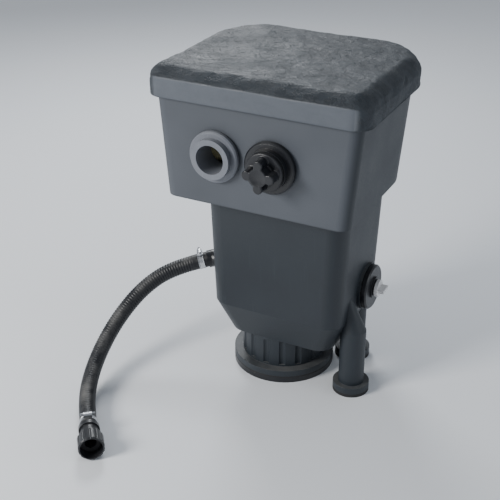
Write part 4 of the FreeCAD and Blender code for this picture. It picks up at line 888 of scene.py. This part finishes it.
def grown(piece, tree, values):
    """Runs a Geometry Nodes tree on the piece and keeps the plain mesh."""
    modifier = piece.modifiers.new(tree.name, "NODES")
    modifier.node_group = tree
    for item in tree.interface.items_tree:
        if item.in_out == "INPUT" and item.name in values:
            modifier[item.identifier] = values[item.name]
    keep_result(piece, modifier)


media = merged_copy("ribbon_bundle", "ribbon_media")
with_modifier(media, "REMESH", mode="VOXEL", voxel_size=MEDIA_VOXEL)
with_modifier(media, "SMOOTH", factor=0.5, iterations=6)
for v in media.data.vertices:
    lumps = noise.noise(v.co * 16) + 0.5 * noise.noise(v.co * 40)
    v.co -= v.normal * (MEDIA_LUMP + MEDIA_LUMP * lumps)
grown(media, media_tree,
      {"Ribbons Per Area": RIBBON_COUNT_PER_AREA, "Ribbon Length": RIBBON_LENGTH,
       "Ribbon Width": RIBBON_WIDTH, "Points": RIBBON_POINTS, "Seed": RIBBON_SEED})
# A strand that jumps across a gap, such as the elbow's recess, is cut there.
bm = bmesh.new()
bm.from_mesh(media.data)
bridges = [e for e in bm.edges if e.calc_length() > LONGEST_STEP]
bmesh.ops.delete(bm, geom=bridges, context="EDGES")
bmesh.ops.delete(bm, geom=[v for v in bm.verts if not v.link_faces], context="VERTS")
bm.to_mesh(media.data)
bm.free()
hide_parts("ribbon_media")
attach(media, "media")

# ---------------------------------------------------------------------------
# Column mats: six rolled grey-lilac fibre mats that stand in the column's
# pierced discs. Each is a rolled sheet with its seam turned inwards.
# ---------------------------------------------------------------------------
MAT_COUNT, MAT_CIRCLE, MAT_RADIUS = 6, 0.034, 0.0159
MAT_SIDES, MAT_STEPS, ROLL_STEP, MAT_FUZZ = 40, 64, 0.0022, 0.0006

column_low, column_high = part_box("column_mats")
column_x = (column_low.x + column_high.x) / 2
column_y = (column_low.y + column_high.y) / 2
bm = bmesh.new()
for number in range(MAT_COUNT):
    turn = 2 * math.pi * number / MAT_COUNT
    centre = Vector((column_x + MAT_CIRCLE * math.cos(turn),
                     column_y + MAT_CIRCLE * math.sin(turn), 0))
    rings = []
    for i in range(MAT_STEPS + 1):
        z = column_low.z + (column_high.z - column_low.z) * i / MAT_STEPS
        ring = []
        for j in range(MAT_SIDES):
            a = 2 * math.pi * j / MAT_SIDES
            seam = ROLL_STEP * j / MAT_SIDES
            around = Vector((7 * math.cos(a) + 9 * number, 7 * math.sin(a), z * 160))
            fuzz = MAT_FUZZ * (1 + noise.noise(around))
            radius = MAT_RADIUS - seam - fuzz
            ring.append(bm.verts.new(centre + Vector((radius * math.cos(turn + math.pi + a),
                                                      radius * math.sin(turn + math.pi + a), z))))
        rings.append(ring)
    bridge_rings(bm, zip(rings, rings[1:]))
    bm.faces.new(rings[0][::-1])
    bm.faces.new(rings[-1])
mats = finished("rolled_mats", bm, 40)
mat_fibre, tree, shader = new_material("mat_fibre")
where = node(tree, "ShaderNodeTexCoord").outputs["Object"]
fibres = node(tree, "ShaderNodeTexNoise",
              {"Vector": node(tree, "ShaderNodeMapping",
                              {"Vector": where, "Scale": (420, 420, 34)}).outputs[0],
               "Scale": 1.0, "Detail": 5.0}).outputs[0]
clumps = node(tree, "ShaderNodeTexNoise",
              {"Vector": where, "Scale": 55.0, "Detail": 3.0}).outputs[0]
lilac = mix_colour(tree, in_range(tree, fibres, 0.35, 0.66), (0.20, 0.19, 0.25, 1),
                   (0.46, 0.45, 0.54, 1))
tree.links.new(mix_colour(tree, times(tree, in_range(tree, clumps, 0.5, 0.75), 0.5), lilac,
                          (0.30, 0.29, 0.33, 1)), shader.inputs["Base Color"])
tree.links.new(node(tree, "ShaderNodeBump",
                    {"Height": fibres, "Strength": 0.8, "Distance": 0.0012}).outputs[0],
               shader.inputs["Normal"])
tree.links.new(in_range(tree, clumps, 0.3, 0.7, 0.82, 0.98), shader.inputs["Roughness"])
shader.inputs["Sheen Weight"].default_value = 0.4
mats.data.materials.append(mat_fibre)
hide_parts("column_mats")
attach(mats, "column")
